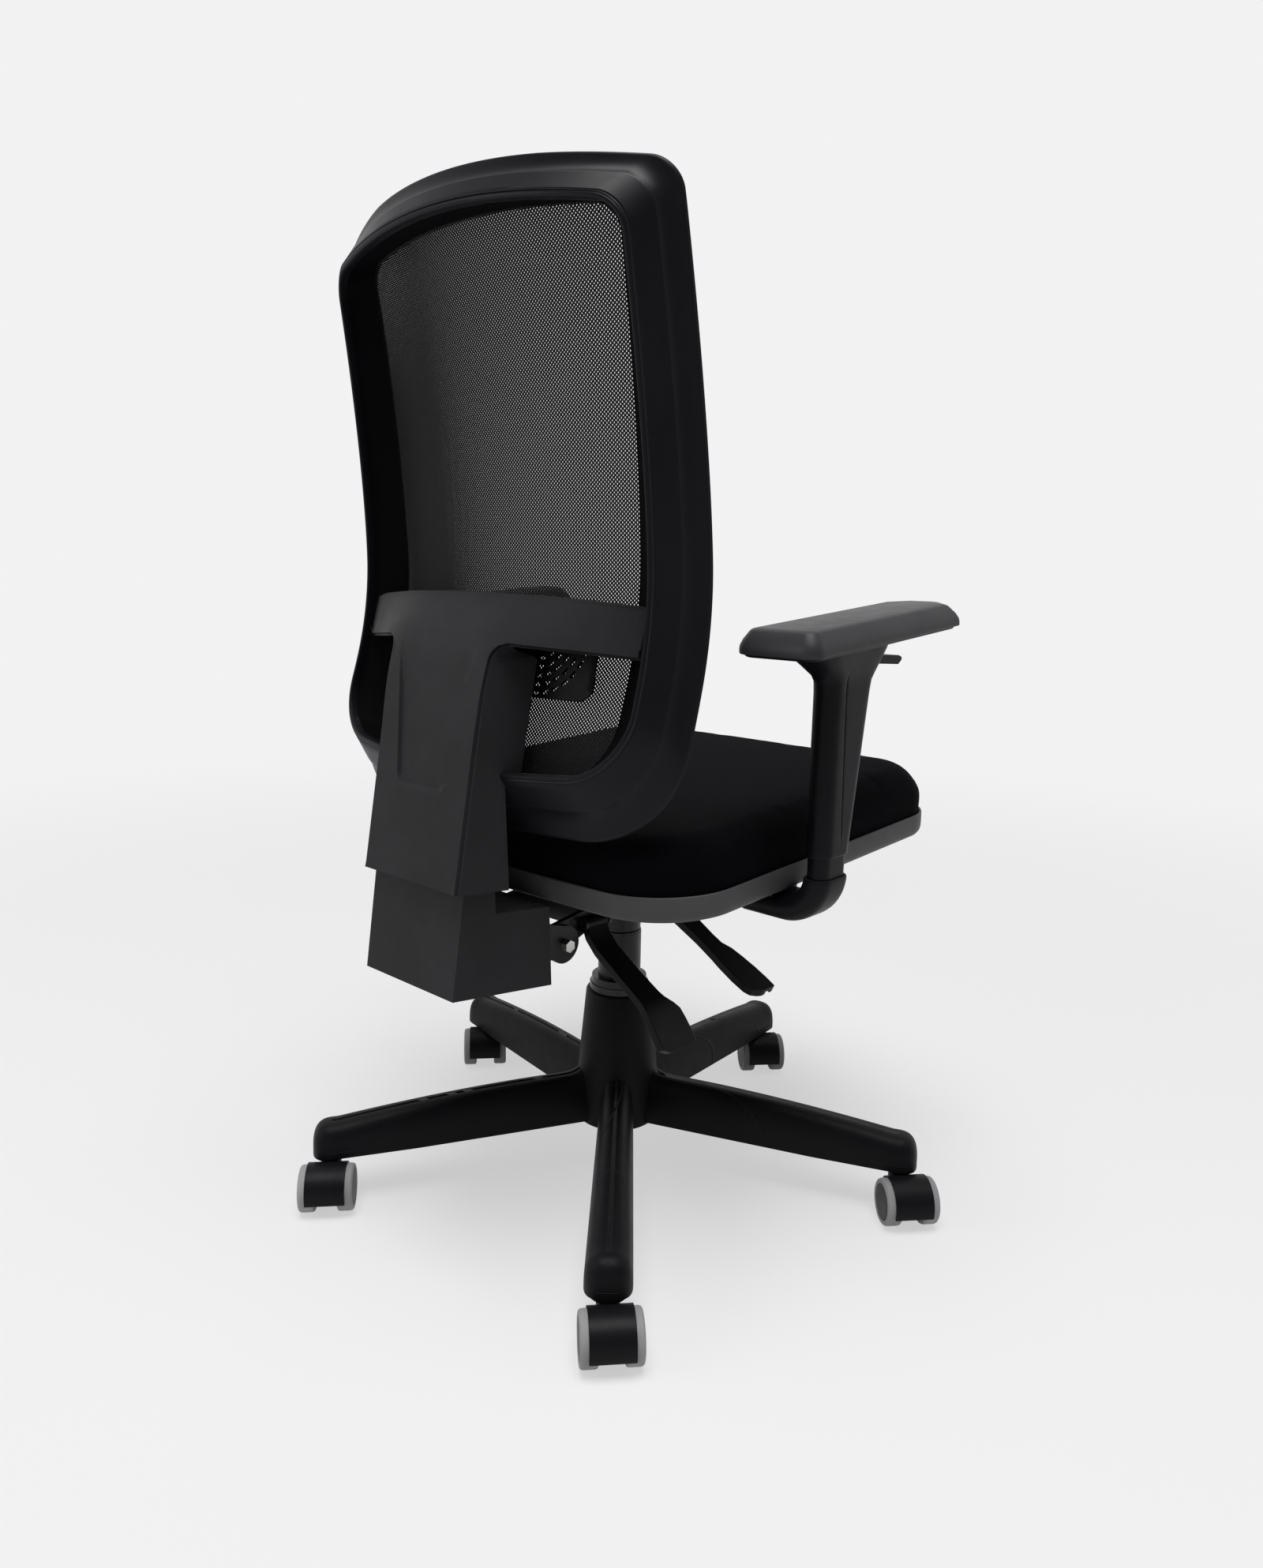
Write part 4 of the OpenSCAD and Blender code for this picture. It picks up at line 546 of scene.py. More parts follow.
def wheel_parts(side):
    """A wheel's disc and tread on one side (+1 or -1) of the caster, as turned profiles along the axle."""
    disc = [(4.1, 12.4), (18.6, 12.4), (19.4, 13.2), (19.45, 27.8), (19.0, 28.4), (17.6, 28.6),
        (10.0, 28.8), (0.01, 28.9)]
    tread = [(19.5, 12.3), (22.8, 12.3), (24.2, 12.9), (24.85, 14.2), (25.0, 16.0), (25.0, 25.0),
        (24.85, 26.6), (24.3, 28.0), (23.2, 28.9), (21.8, 29.25), (20.4, 29.1), (19.5, 28.5)]
    made = []
    for rows, closed in ((disc, False), (tread, True)):
        points, faces = lathe(np.array(rows + (rows[:1] if closed else [])) * MM, 64)
        points = np.stack([points[:, 2] * side, points[:, 0], points[:, 1]], -1)
        made.append((points + [0, trail, axle_z], faces))
    return made


def at_caster(points, k):
    """Points drawn with the stem on the Z axis and the axle behind it go to caster k, all facing one way."""
    a = math.radians(leg_first + leg_step * k)
    return turn(points, caster_facing, (stem_r * math.cos(a), stem_r * math.sin(a), 0))


def wider_hood(k):
    """The hood spreads a little along the axle, and its rear edge climbs nearer to the axle's level."""
    def move(points):
        local = at_caster(np.zeros((1, 3)), k)
        flat = turn(points - local, -caster_facing)
        y, z = flat[:, 1] - trail, flat[:, 2] - axle_z
        angle, far = np.arctan2(z, y), np.hypot(y, z)
        angle = np.where((angle < 0) & (angle > -1) & (far > hood_in_r), angle * rear_share, angle)
        wide = np.where((np.abs(flat[:, 0]) > hood_in_w) & (far > hood_in_r), hood_growth, 1.0)
        moved = np.stack([flat[:, 0] * wide, trail + far * np.cos(angle), axle_z + far * np.sin(angle)], -1)
        return turn(moved, caster_facing) + local
    return move


for k in range(5):
    pairs = [wheel_parts(s) for s in (-1, 1)]
    for which, node, finish in ((0, "caster_wheels", disc_black), (1, "caster_treads", tread_grey)):
        points, faces = joined([pair[which] for pair in pairs])
        mesh = mesh_of(f"{node}_{k + 1}_turned", at_caster(points, k), faces)
        piece(f"{node}_{k + 1}_turned", mesh, finish, f"wheels_{k + 1}", f"{node}_{k + 1}", crease=45)
    softened(f"caster_hood_{k + 1}", 0.0007, hood_black, f"caster_{k + 1}", reshape=wider_hood(k))
    finish_node(f"caster_axle_{k + 1}", bright_steel)

# %% [markdown]
# ## The back frame
# The back is a plastic ring that is rounded like a tall shield and bent twice: a soft S from the
# side and a bow from left to right. Its section has a thin rolled bead at the rear, an outer band,
# a crisp crease, a hollow flank and a thin front roll. One section carried round the ring makes it:
# each row is the same outline moved in or out, at the depth that the section asks for.

# %% Shape of the back
def side_y(z):
    """Rear line of the back from the side: back above the waist as d^1.5, below it as d^2 up to a limit."""
    d = np.asarray(z, float) - 0.700
    up = 0.2234 * np.maximum(d, 0) ** 1.5
    a = 1.4 * d ** 2
    down = a * (1 + (a / 0.040) ** 4) ** -0.25
    return 0.1944 + np.where(d > 0, up, down)


def face_y(x, z):
    """The net's surface: 30 mm in front of the rear line and bowed across, most at the middle."""
    return side_y(z) - 0.030 - 0.811 * (x ** 2 - 0.172 ** 2)


def rim_y(x, z):
    """Depth of the rear bead: the rear line plus its own bow, which grows with height."""
    bow = 0.6 + 0.17 * (z - 0.507) / 0.5
    return side_y(z) + bow * ((0.2145 - 0.027 * (z - 0.5)) ** 2 - x ** 2)


def edge_y(x, z):
    """Depth of the outer edge: the net's surface, set back up to 18 mm at the crown of the head rail."""
    return face_y(x, z) + 0.018 * np.maximum(0, 1 - (x / 0.2415) ** 2) * np.clip((z - 0.980) / 0.055, 0,
        1) ** 2


def unit_loop(half, length, foot_r, top_r, side_n=64, corner_n=26, width_n=44):
    """Stations (a, b) round a unit shield: a from -1 to 1 across, b from 0 to 1 up, with round corners."""
    def arc(ca, cb, ra, rb, start):
        t = np.radians(start + 90 * np.arange(corner_n) / corner_n)
        return np.stack([ca + ra * np.cos(t), cb + rb * np.sin(t)], -1)

    def run(p, q, n):
        return np.asarray(p) + (np.asarray(q) - np.asarray(p)) * (np.arange(n) / n)[:, None]

    u0, v0, u1, v1 = foot_r / half, foot_r / length, top_r / half, top_r / length
    return np.concatenate([run([-1 + u0, 0], [1 - u0, 0], width_n), arc(1 - u0, v0, u0, v0, -90),
        run([1, v0], [1, 1 - v1], side_n), arc(1 - u1, 1 - v1, u1, v1, 0),
        run([1 - u1, 1], [-1 + u1, 1], width_n), arc(-1 + u1, 1 - v1, u1, v1, 90),
        run([-1, 1 - v1], [-1, v0], side_n), arc(-1 + u0, v0, u0, v0, 180)])


# half width at 500 mm up, its taper, foot height, foot bow, top height, top bow, foot corner, top corner
RIM = (0.2145, -0.027, 0.507, 0.3, 1.009, 0.449, 0.062, 0.028)
EDGE = (0.2415, -0.030, 0.453, 0.0, 1.0395, 0.319, 0.100, 0.024)
OPENING = (0.172, 0.0, 0.503, 0.3, 1.004, 0.358, 0.055, 0.022)


def outline(o, inset=0.0):
    """(x, z) round one of the outlines, moved inwards: foot and top are bowed by x squared, sides taper."""
    ab = unit_loop(o[0] - inset, o[4] - o[2] - 2 * inset, max(0.004, o[6] - inset),
        max(0.004, o[7] - inset))
    x0 = ab[:, 0] * (o[0] - inset)
    foot, top = o[2] + inset + o[3] * x0 ** 2, o[4] - inset - o[5] * x0 ** 2
    z = foot + ab[:, 1] * (top - foot)
    return ab[:, 0] * (o[0] - inset + o[1] * (z - 0.5)), z


def rim_row(inset, back):
    """A row on the rear bead, inset from the rim and moved back."""
    x, z = outline(RIM, inset)
    return np.stack([x, rim_y(x, z) + back, z], -1)


def flank_row(t, s):
    """A row between the bead and the outer edge: t of the way out and s of the way forward."""
    rim, edge = rim_row(0, 0), outline(EDGE)
    y = (1 - s) * rim[:, 1] + s * edge_y(*edge)
    return np.stack([rim[:, 0] * (1 - t) + edge[0] * t, y, rim[:, 2] * (1 - t) + edge[1] * t], -1)


def front_row(o, inset, back):
    """A row that lies on the net's surface, moved back; used for the front roll and the opening."""
    x, z = outline(o, inset)
    return np.stack([x, face_y(x, z) + back, z], -1)


x, z = outline(EDGE)
# from the bead: a fine groove, the flat band, its crisp edge, the hollow flank, and the front roll
edge_line = np.stack([x, edge_y(x, z), z], -1)
section = [*[rim_row(inset, back) for inset, back in ((0.0052, -0.0090), (0.0052, -0.0028),
    (0.0046, -0.0010), (0.0034, -0.0001), (0.0022, 0.0), (0.0010, -0.0004), (0.0002, -0.0014))],
    *[flank_row(t, s) for t, s in ((0.020, 0.028), (0.034, 0.064), (0.052, 0.074), (0.068, 0.075),
    (0.14, 0.145), (0.26, 0.262), (0.38, 0.380), (0.47, 0.468), (0.492, 0.490), (0.500, 0.505),
    (0.512, 0.535), (0.545, 0.600), (0.60, 0.675), (0.67, 0.745), (0.75, 0.805), (0.83, 0.850),
    (0.895, 0.882), (0.930, 0.898), (0.960, 0.915), (0.985, 0.945))], edge_line,
    *[front_row(EDGE, inset, back) for inset, back in ((0.0010, -0.0008), (0.0030, -0.0017),
    (0.0060, -0.0017), (0.0082, -0.0012), (0.0094, -0.0002), (0.0100, 0.0004))],
    *[front_row(OPENING, inset, back) for inset, back in ((0.0, 0.0006), (-0.0004, 0.0014),
    (-0.0004, 0.0040))]]
ring = np.array(section)
rows, n = ring.shape[:2]
mesh = mesh_of("back_frame_ring", ring, grid_faces(rows + 1, n, ring=True) % (rows * n))
back_ring = piece("back_frame_ring", mesh, frame_black, "back", "back_frame", crease=28)
# The ring's inner wall takes a second, darker and duller finish: painted shade for the shadow that falls
# inside the ring's deep rim, not a different plastic.
ring_wall_painted_shade = moulded("ring_wall_painted_shade", (0.0014, 0.0014, 0.0018), 0.75, 0.04)
back_ring.data.materials.append(ring_wall_painted_shade)
inside = np.arange(len(back_ring.data.polygons)) // n == rows - 1
back_ring.data.polygons.foreach_set("material_index", inside.astype(int))
print("faces on the ring's dark inner wall:", int(inside.sum()))

# %% [markdown]
# ## The net
# The net is a woven mesh, stretched over the ring like a drum. It is a thin sheet with a real
# pattern of staggered holes: two families of slanting yarns cross, and light passes between them. The
# pattern is alpha, worked out from the sheet's own measure in metres, so the holes have one size
# everywhere. Two layers, a millimetre apart, make it close up at a slant as a woven net does.

# %% Net finish
def yarns(name, colour, pitch, open_at):
    """Holes where the product of two cosines is high: cos(2 pi u / pitch) times cos(2 pi v / pitch)."""
    finish, bsdf, place, add = shader_start(name)
    split = add("SeparateXYZ", Vector=add("UVMap", uv_map="flat").outputs["UV"])
    turns = [maths(add, "MULTIPLY", split.outputs[axis], 2 * math.pi / pitch) for axis in "XY"]
    both = maths(add, "MULTIPLY", *[maths(add, "COSINE", turn_at) for turn_at in turns])
    hole = put(add("MapRange", interpolation_type="SMOOTHSTEP"),
        {"Value": both, "From Min": open_at - 0.12, "From Max": open_at + 0.12, "To Min": 1.0,
        "To Max": 0.0})
    fuzz = add("TexNoise", Scale=500, Detail=2, Vector=place)
    bump = add("Bump", Strength=0.5, Distance=0.0003, Height=both)
    put(bsdf, {"Base Color": tinted(add, fuzz, colour, 0.55, 1.5).outputs["Color"],
        "Alpha": hole.outputs["Result"], "Normal": bump.outputs["Normal"], "Roughness": 0.6,
        "Specular IOR Level": 0.12, "Sheen Weight": 0.02, "Sheen Roughness": 0.5})
    return finish


net_black = yarns("net_yarn", (0.013, 0.013, 0.014), 0.0037, 0.26)

# %% Net sheet
def net_layer(rings, back):
    """The net's middle point and its outlines, shrunk in steps towards it, all on the net's surface."""
    x, z = outline(EDGE, 0.0094)
    mid = 0.7535
    f = np.linspace(0, 1, rings)[1:, None]
    px, pz = x * f, mid + (z - mid) * f
    points = np.stack([px, face_y(px, pz) + back, pz], -1)
    return np.concatenate([[[0, face_y(0.0, mid) + back, mid]], points.reshape(-1, 3)])


def net_faces(rings, n, start=0, flip=False):
    """A fan round the middle point, then the squares between rings."""
    fan = [[start, start + 1 + j, start + 1 + (j + 1) % n] for j in range(n)]
    rest = grid_faces(rings - 1, n, ring=True, start=start + 1)
    faces = fan + rest[:, ::-1].tolist()
    return [f[::-1] for f in faces] if flip else faces


n_loop = len(outline(EDGE)[0])
rear, front = net_layer(18, -0.0001), net_layer(18, -0.0011)
points = np.concatenate([rear, front])
faces = net_faces(18, n_loop) + net_faces(18, n_loop, start=len(rear), flip=True)
mesh = bpy.data.meshes.new("back_net")
mesh.from_pydata(points.tolist(), [], [list(map(int, f)) for f in faces])
width = points[:, 0] * (1 + 0.3 * points[:, 0] ** 2)
levels = np.linspace(0.44, 1.05, 200)
climbed = np.concatenate([[0], np.cumsum(np.hypot(np.diff(levels), np.diff(side_y(levels))))])
height = np.interp(points[:, 2], levels, climbed)
flat = np.stack([width, height], -1)
loops = np.empty(len(mesh.loops), int)
mesh.loops.foreach_get("vertex_index", loops)
mesh.uv_layers.new(name="flat").data.foreach_set("uv", flat[loops].ravel())
net = piece("back_net", mesh, net_black, "back", "back_mesh", crease=180)
net_size = (float(np.ptp(width)), float(np.ptp(height)))
print("net cut to", [round(v, 3) for v in net_size])

# %% [markdown]
# ## The spine and its cross bar
# One moulding covers the bar behind the back: a leaning spine that widens into a T, whose arms reach
# the ring on both sides. Its rear face is one flowing skin, so its depth is one formula: the spine's
# plane and the bowed bar's surface, mixed by how far out a point lies. A shallow panel is pressed
# into the spine. The skin is cut out as three grids that share their edges, and walls run forward
# from its outline. Solidify gives the 3 mm wall, and Bevel the small round on each edge.

# %% Spine skin
spine_hw, corner_r, bar_low, bar_end, splay = 0.074, 0.013, 0.630, 0.202, math.tan(math.radians(18))


def bar_y(x, z):
    """Rear of the cross bar: a tube of 450 mm radius that leans 28.3 degrees, half of it at its ends."""
    lean = math.radians(28.3)
    upright = 1 - 0.5 * ramp(np.abs(x), 0.10, 0.19)
    bow = 0.450 - np.sqrt(0.450 ** 2 - x ** 2)
    return 0.2456 - (z - 0.627) * math.tan(lean) * upright - bow / math.cos(lean)


def spine_y(z):
    """Rear of the spine: a plane that leans 9.65 degrees, blended into a 45-degree slope at the top."""
    plane, slope = 0.297 - (z - 0.403) * math.tan(math.radians(9.65)), 0.8952 - z
    soft = 0.008
    return -soft * np.log(np.exp(-plane / soft) + np.exp(-slope / soft))


panel_foot = 0.491


def panel_half(z):
    """Half width of the pressed panel: 36 mm at its foot, widening to 56 mm at the top."""
    return 0.036 + 0.020 * np.clip((z - panel_foot) / 0.130, 0, 1)


def skin_y(x, z):
    """Depth of the rear skin: spine at the middle, bar outside 160 mm, and the pressed panel sunk 2.8 mm."""
    share = 1 - ramp(np.abs(x), 0.040, 0.160) * ramp(z, 0.560, 0.622)
    y = bar_y(x, z) * (1 - share) + spine_y(z) * share
    dx, dz = np.abs(x) - (panel_half(z) - 0.012), (panel_foot + 0.012) - z
    apart = np.hypot(np.maximum(dx, 0), np.maximum(dz, 0)) + np.minimum(np.maximum(dx, dz), 0) - 0.012
    return y - 0.0028 * ramp(apart, 0.0006, -0.0010) * ramp(z, 0.640, 0.575)


def top_z(x):
    """Upper edge of the bar, 676 mm at the middle and lower towards its ends."""
    return 0.676 - 0.232 * x ** 2


low = np.concatenate([np.linspace(0.403, 0.485, 15)[:-1], np.linspace(0.485, 0.509, 17)[:-1],
    np.linspace(0.509, 0.617, 22)[:-1], bar_low - corner_r + corner_r
    * np.sin(np.radians(np.linspace(0, 90, 9)))])
half = np.where(low > bar_low - corner_r, spine_hw + corner_r
    - np.sqrt(np.maximum(corner_r ** 2 - (low - bar_low + corner_r) ** 2, 0)), spine_hw)
v = np.linspace(0, 1, 17)[1:]


def columns(z, half_at):
    """Places across one row: even steps, with close columns along each edge of the pressed panel."""
    p = float(panel_half(z))
    inside = np.linspace(-p + 0.0016, p - 0.0016, 13)
    beyond = np.linspace(p + 0.0008, half_at, 9)
    mid = np.array([p - 0.0004])
    return np.concatenate([-beyond[::-1], -mid, inside, mid, beyond])


rows_x = np.array([columns(z, h) for z, h in zip(low, half)])
rows_z = np.repeat(low[:, None], rows_x.shape[1], 1)
upper_x = np.array([columns(bar_low + (0.676 - bar_low) * t, spine_hw + corner_r) for t in v])
upper_z = bar_low + (top_z(upper_x) - bar_low) * v[:, None]
mid_x, mid_z = np.concatenate([rows_x, upper_x]), np.concatenate([rows_z, upper_z])
up = np.linspace(0, 1, 17)[:, None]
arm_x = spine_hw + corner_r + (bar_end - 0.006 * np.clip((up - 0.8) / 0.2, 0, 1) ** 3 - spine_hw
    - corner_r) * np.linspace(0, 1, 24)
arm_low = bar_low - 0.008 * (arm_x - spine_hw - corner_r) / 0.11
arm_z = arm_low + (top_z(arm_x) - arm_low) * up
deep_bar = 0.0132


def skin(x, z, back=None):
    """Points of the rear skin, or of the bar's front when `back` gives its thickness."""
    return np.stack([x, skin_y(x, z) if back is None else bar_y(x, z) - back, z], -1)


print("spine rows and columns:", mid_x.shape)

# %% Spine walls and mesh
def front_y(z):
    """Front edge of the spine's side walls, from the foot of the cover up to the bar."""
    return np.interp(z, [0.403, 0.500, 0.5135, 0.577, 0.627], [0.250, 0.250, 0.234, 0.222, 0.212])


n_low = len(low)
side_x, side_z = mid_x[:n_low, -1], mid_z[:n_low, -1]
turn_in = ramp(side_z, bar_low - corner_r, bar_low)
side_depth = (skin_y(side_x, side_z) - front_y(side_z)) * (1 - turn_in) + deep_bar * turn_in
edge = [skin(side_x, side_z), skin(arm_x[0, 1:], arm_z[0, 1:]), skin(arm_x[1:, -1], arm_z[1:, -1]),
    skin(arm_x[-1, -2::-1], arm_z[-1, -2::-1]), skin(mid_x[-1, -2:len(mid_x[-1]) // 2 - 1:-1],
    mid_z[-1, -2:len(mid_x[-1]) // 2 - 1:-1])]
edge_back = np.concatenate(edge)
front = edge_back.copy()
front[:n_low, 1] -= side_depth
front[:n_low, 0] += side_depth * splay * (1 - turn_in)
front[n_low:, 1] = bar_y(front[n_low:, 0], front[n_low:, 2]) - deep_bar
steps = np.linspace(0, 1, 4)[:, None, None]
wall_right = edge_back * (1 - steps) + front * steps
flip_x = np.array([-1, 1, 1])
arm_skin, arm_front = skin(arm_x, arm_z), skin(arm_x, arm_z, deep_bar)
mid_skin, mid_front = skin(mid_x, mid_z), skin(mid_x[n_low - 1:], mid_z[n_low - 1:], deep_bar)
parts = [(mid_skin, grid_faces(*mid_x.shape)), (mid_front, grid_faces(*mid_front.shape[:2], flip=True)),
    (arm_skin, grid_faces(*arm_x.shape)), (arm_skin * flip_x, grid_faces(*arm_x.shape, flip=True)),
    (arm_front, grid_faces(*arm_x.shape, flip=True)), (arm_front * flip_x, grid_faces(*arm_x.shape)),
    (wall_right, grid_faces(4, wall_right.shape[1])), (wall_right * flip_x,
    grid_faces(4, wall_right.shape[1], flip=True))]
mesh = mesh_of("spine_cover", *joined(parts), outward=False)
spine = piece("spine_cover", mesh, cover_black, "back", "upper_cover", crease=35)
modify(spine, "SOLIDIFY", thickness=0.003, offset=-1, use_even_offset=True)
round_edges(spine, 0.0012, 3, 50, use_clamp_overlap=True)

# %% [markdown]
# ## The lumbar pad
# A thin curved plate slides up and down in front of the bar. Arcs of short slots round each lower corner make
# it springy. The plate is built as rings of one rounded outline, and the slots are cut from it.

# %% Lumbar pad
pad_hw, pad_low, pad_high, plate_r = 0.143, 0.580, 0.095, 0.6165
lean = math.tan(math.radians(11))


def lumbar_y(x, z):
    """Depth of the plate: a tube of 616.5 mm radius that leans with the back."""
    return 0.2038 - (z - 0.630) * lean - (plate_r - np.sqrt(plate_r ** 2 - x ** 2))


def lumbar_ring(inset, back):
    """One outline of the plate, moved inwards and back."""
    ab = unit_loop(pad_hw - inset, 0.1 - 2 * inset, max(0.001, 0.015 - inset), max(0.001, 0.015 - inset),
        20, 10, 60)
    x = ab[:, 0] * (pad_hw - inset)
    z = pad_low + inset + ab[:, 1] * (pad_high - 2 * inset - 0.5 * x ** 2)
    return np.stack([x, lumbar_y(x, z) + back, z], -1)


def plate_rings(back):
    """Rings from near the edge to the middle line of the plate at one depth."""
    return [lumbar_ring(i, back) for i in (0.0008, 0.006, 0.013, 0.022, 0.034, 0.040)]


rings = np.array([*plate_rings(0.0)[::-1], lumbar_ring(0, 0.0007), lumbar_ring(0, 0.0023),
    *plate_rings(0.003)])
first, last = end_faces(*rings.shape[:2])
mesh = mesh_of("lumbar_plate", rings, grid_faces(*rings.shape[:2], ring=True).tolist()
    + [first[::-1], last])


def slot_prism(mid, radius, start, stop, half_w=0.0015):
    """(points, faces) of one slot: a band round an arc from start to stop degrees, right through in depth."""
    t = np.radians(np.linspace(start, stop, 7))
    arc = np.stack([np.cos(t), np.sin(t)], -1)
    band = np.concatenate([(radius + half_w) * arc, (radius - half_w) * arc[::-1]]) + mid
    n = len(band)
    points = np.concatenate([np.stack([band[:, 0], np.full(n, y), band[:, 1]], -1) for y in (0.15, 0.26)])
    first, last = end_faces(2, n)
    return points, [first[::-1], last] + grid_faces(2, n, ring=True).tolist()


slots, slot_pitch, slot_share = [], 0.0115, 0.70
for radius in (0.014, 0.022, 0.030, 0.038, 0.046, 0.054):
    step = math.degrees(slot_pitch / radius)
    long = step * slot_share
    for start in np.arange(-95 + step * 0.2, 28 - long, step):
        for s in (1, -1):
            ends = (start, start + long) if s > 0 else (180 - start - long, 180 - start)
            slots.append(slot_prism(np.array([0.079 * s, 0.6385]), radius, *ends))
cutter = bpy.data.objects.new("slots", mesh_of("slots", *joined(slots)))
scene.collection.objects.link(cutter)
plate = bpy.data.objects.new("plate", mesh)
scene.collection.objects.link(plate)
modify(plate, "BOOLEAN", object=cutter, operation="DIFFERENCE", solver="MANIFOLD")
cut_mesh = bpy.data.meshes.new_from_object(evaluated(plate))
cut_mesh.name = "lumbar_plate_slotted"
print("plate faces:", len(mesh.polygons), "with slots:", len(cut_mesh.polygons))
bpy.data.objects.remove(plate)
bpy.data.objects.remove(cutter)
lumbar_black = moulded("lumbar_plastic", (0.003, 0.003, 0.0035), 0.45, 0.12)
piece("lumbar_plate", cut_mesh, lumbar_black, "lumbar", "lumbar_pad", crease=35)

# %% [markdown]
# ## The seat
# The seat is a plastic tray with a foam cushion pulled down into it, tilted 2.7 degrees. Both follow
# one outline with large corners and slightly bowed ends. Rings of that outline, moved inwards and
# upwards, make the tray's rounded lip and the cushion's crown.

# %% Seat tray
seat_hw, seat_front, seat_rear, tilt = 0.248, 0.300, 0.205, math.radians(2.7)


def on_seat(points):
    """Seat coordinates to the chair's: raised 389.5 mm and turned so that the front is higher."""
    x, y, z = np.moveaxis(np.asarray(points, float), -1, 0)
    return np.stack([x, y * math.cos(tilt) + z * math.sin(tilt),
        0.3895 - y * math.sin(tilt) + z * math.cos(tilt)], -1)


def seat_ring(inset, height):
    """The seat's outline moved inwards, at a height given as a number or as a function of the depth y."""
    ab = unit_loop(seat_hw - inset, seat_front + seat_rear - 2 * inset, max(0.004, 0.085 - inset),
        max(0.004, 0.065 - inset), 40, 24, 40)
    a, b = ab[:, 0], ab[:, 1]
    fade = max(0, 1 - inset / 0.2)
    bow = -0.009 * a * a * fade
    y = (seat_rear - inset) * (1 - b) - (seat_front - inset) * b + (1 - 2 * b) * bow
    x = -a * (seat_hw - inset)
    return np.stack([x, y, height(y) if callable(height) else np.full(len(x), height)], -1)


tray = [(0.12, 0.0), (0.016, 0.0), (0.008, 0.0006), (0.0038, 0.0024), (0.0012, 0.0055), (0.0002, 0.0095),
    (0, 0.014), (0, 0.0255), (0.0003, 0.0264), (0.001, 0.027), (0.0022, 0.027), (0.0029, 0.0264),
    (0.003, 0.0255), (0.003, 0.014)]
rings = np.array([on_seat(seat_ring(i, h)) for i, h in tray])
n = rings.shape[1]
mesh = mesh_of("seat_tray", rings, grid_faces(len(rings), n, ring=True, flip=True).tolist()
    + [list(range(n))], outward=False)
merge(mesh, outward=True)
piece("seat_tray", mesh, shell_black, "seat", "seat_shell", crease=50)

# %% Seat fabric
def cloth(name, colour, thread, depth):
    """Upholstery: two crossed waves make a plain weave, a noise varies its colour, and sheen is the nap."""
    finish, bsdf, place, add = shader_start(name)
    warp, weft = [add("TexWave", Scale=math.pi / thread / 10, Distortion=0.6, Detail=1, bands_direction=way,
                      Vector=place) for way in "XY"]
    wide, lint = [add("TexNoise", Scale=scale, Detail=detail, Vector=place) for scale,
        detail in ((14, 5), (1500, 1))]
    weave = maths(add, "MAXIMUM", warp.outputs["Fac"], weft.outputs["Fac"])
    bump = add("Bump", Strength=depth, Distance=0.0004, Height=maths(add, "MULTIPLY", weave,
        lint.outputs["Fac"]))
    put(bsdf, {"Base Color": tinted(add, wide, colour, 0.6, 1.5).outputs["Color"],
        "Normal": bump.outputs["Normal"], "Roughness": 0.85, "Specular IOR Level": 0.03,
        "Sheen Weight": 0.006, "Sheen Roughness": 0.4})
    return finish


seat_cloth = cloth("seat_cloth", (0.0017, 0.0017, 0.0026), 0.0011, 0.6)
print("seat cloth woven")

# %% Cushion
def crown(y):
    """Height of the cushion's middle: 80 mm, rising 5 mm at the front edge as y squared."""
    return 0.080 + 0.005 * np.where(y < 0, (y / 0.300) ** 2, 0)


def cushion_row(inset, drop):
    """A ring of the cushion's top, `drop` below the crown; the front rolls off more than the back."""
    return seat_ring(0.004 + inset, lambda y: crown(y) - drop - 0.006 * ramp(-y, 0.18, 0.30)
        * (1 - ramp(inset, 0.0, 0.05)))


side_rows = [seat_ring(0.005, 0.0155), seat_ring(0.004, 0.022), seat_ring(0.0038, 0.028),
    seat_ring(0.0032, 0.036), seat_ring(0.0030, 0.0425)]
round_rows = [cushion_row(0.034 * (1 - math.cos(math.radians(t))) - 0.001,
    0.0350 - 0.031 * math.sin(math.radians(t))) for t in np.linspace(4, 84, 12)]
top_rows = [cushion_row(i, 0.0042 * math.exp(-(i - 0.030) / 0.045)) for i in (0.036, 0.044, 0.056, 0.072,
    0.090, 0.112, 0.136, 0.160, 0.184, 0.206, 0.228)]
rings = np.array([on_seat(r) for r in side_rows + round_rows + top_rows])
mesh = lofted("seat_cushion_foam", rings, flip=True)


def inflate(mesh, free, cap, voxel=0.005):
    """Foam under cloth: the form is remeshed and blown up by the cloth solver. A point keeps the share
    `free` of its move, and no move is longer than `cap`."""
    obj = bpy.data.objects.new("form", mesh)
    scene.collection.objects.link(obj)
    modify(obj, "REMESH", mode="VOXEL", voxel_size=voxel)
    form = bpy.data.meshes.new_from_object(evaluated(obj))
    obj.modifiers.clear()
    obj.data = form
    puff = obj.modifiers.new("puff", "CLOTH")
    puff.settings.use_pressure, puff.settings.uniform_pressure_force = True, 4
    puff.settings.effector_weights.gravity = 0
    for step in range(1, 21):
        scene.frame_set(step)
    rest, blown = np.empty(len(form.vertices) * 3), np.empty(len(form.vertices) * 3)
    form.vertices.foreach_get("co", rest)
    evaluated(obj).data.vertices.foreach_get("co", blown)
    rest = rest.reshape(-1, 3)
    move = blown.reshape(-1, 3) - rest
    far = np.linalg.norm(move, axis=1, keepdims=True)
    share = cap * np.tanh(far / cap) / np.maximum(far, 1e-9) * free(rest)[:, None]
    form.vertices.foreach_set("co", (rest + move * share).ravel())
    bpy.data.objects.remove(obj)
    scene.frame_set(1)
    print("cloth moved points up to", round(float((far * share).max()), 4))
    return form


mesh = inflate(mesh, lambda p: ramp(p[:, 2], 0.448, 0.470), 0.0035)
cushion = piece("seat_cushion_foam", mesh, seat_cloth, "seat", "seat_cushion", crease=180)

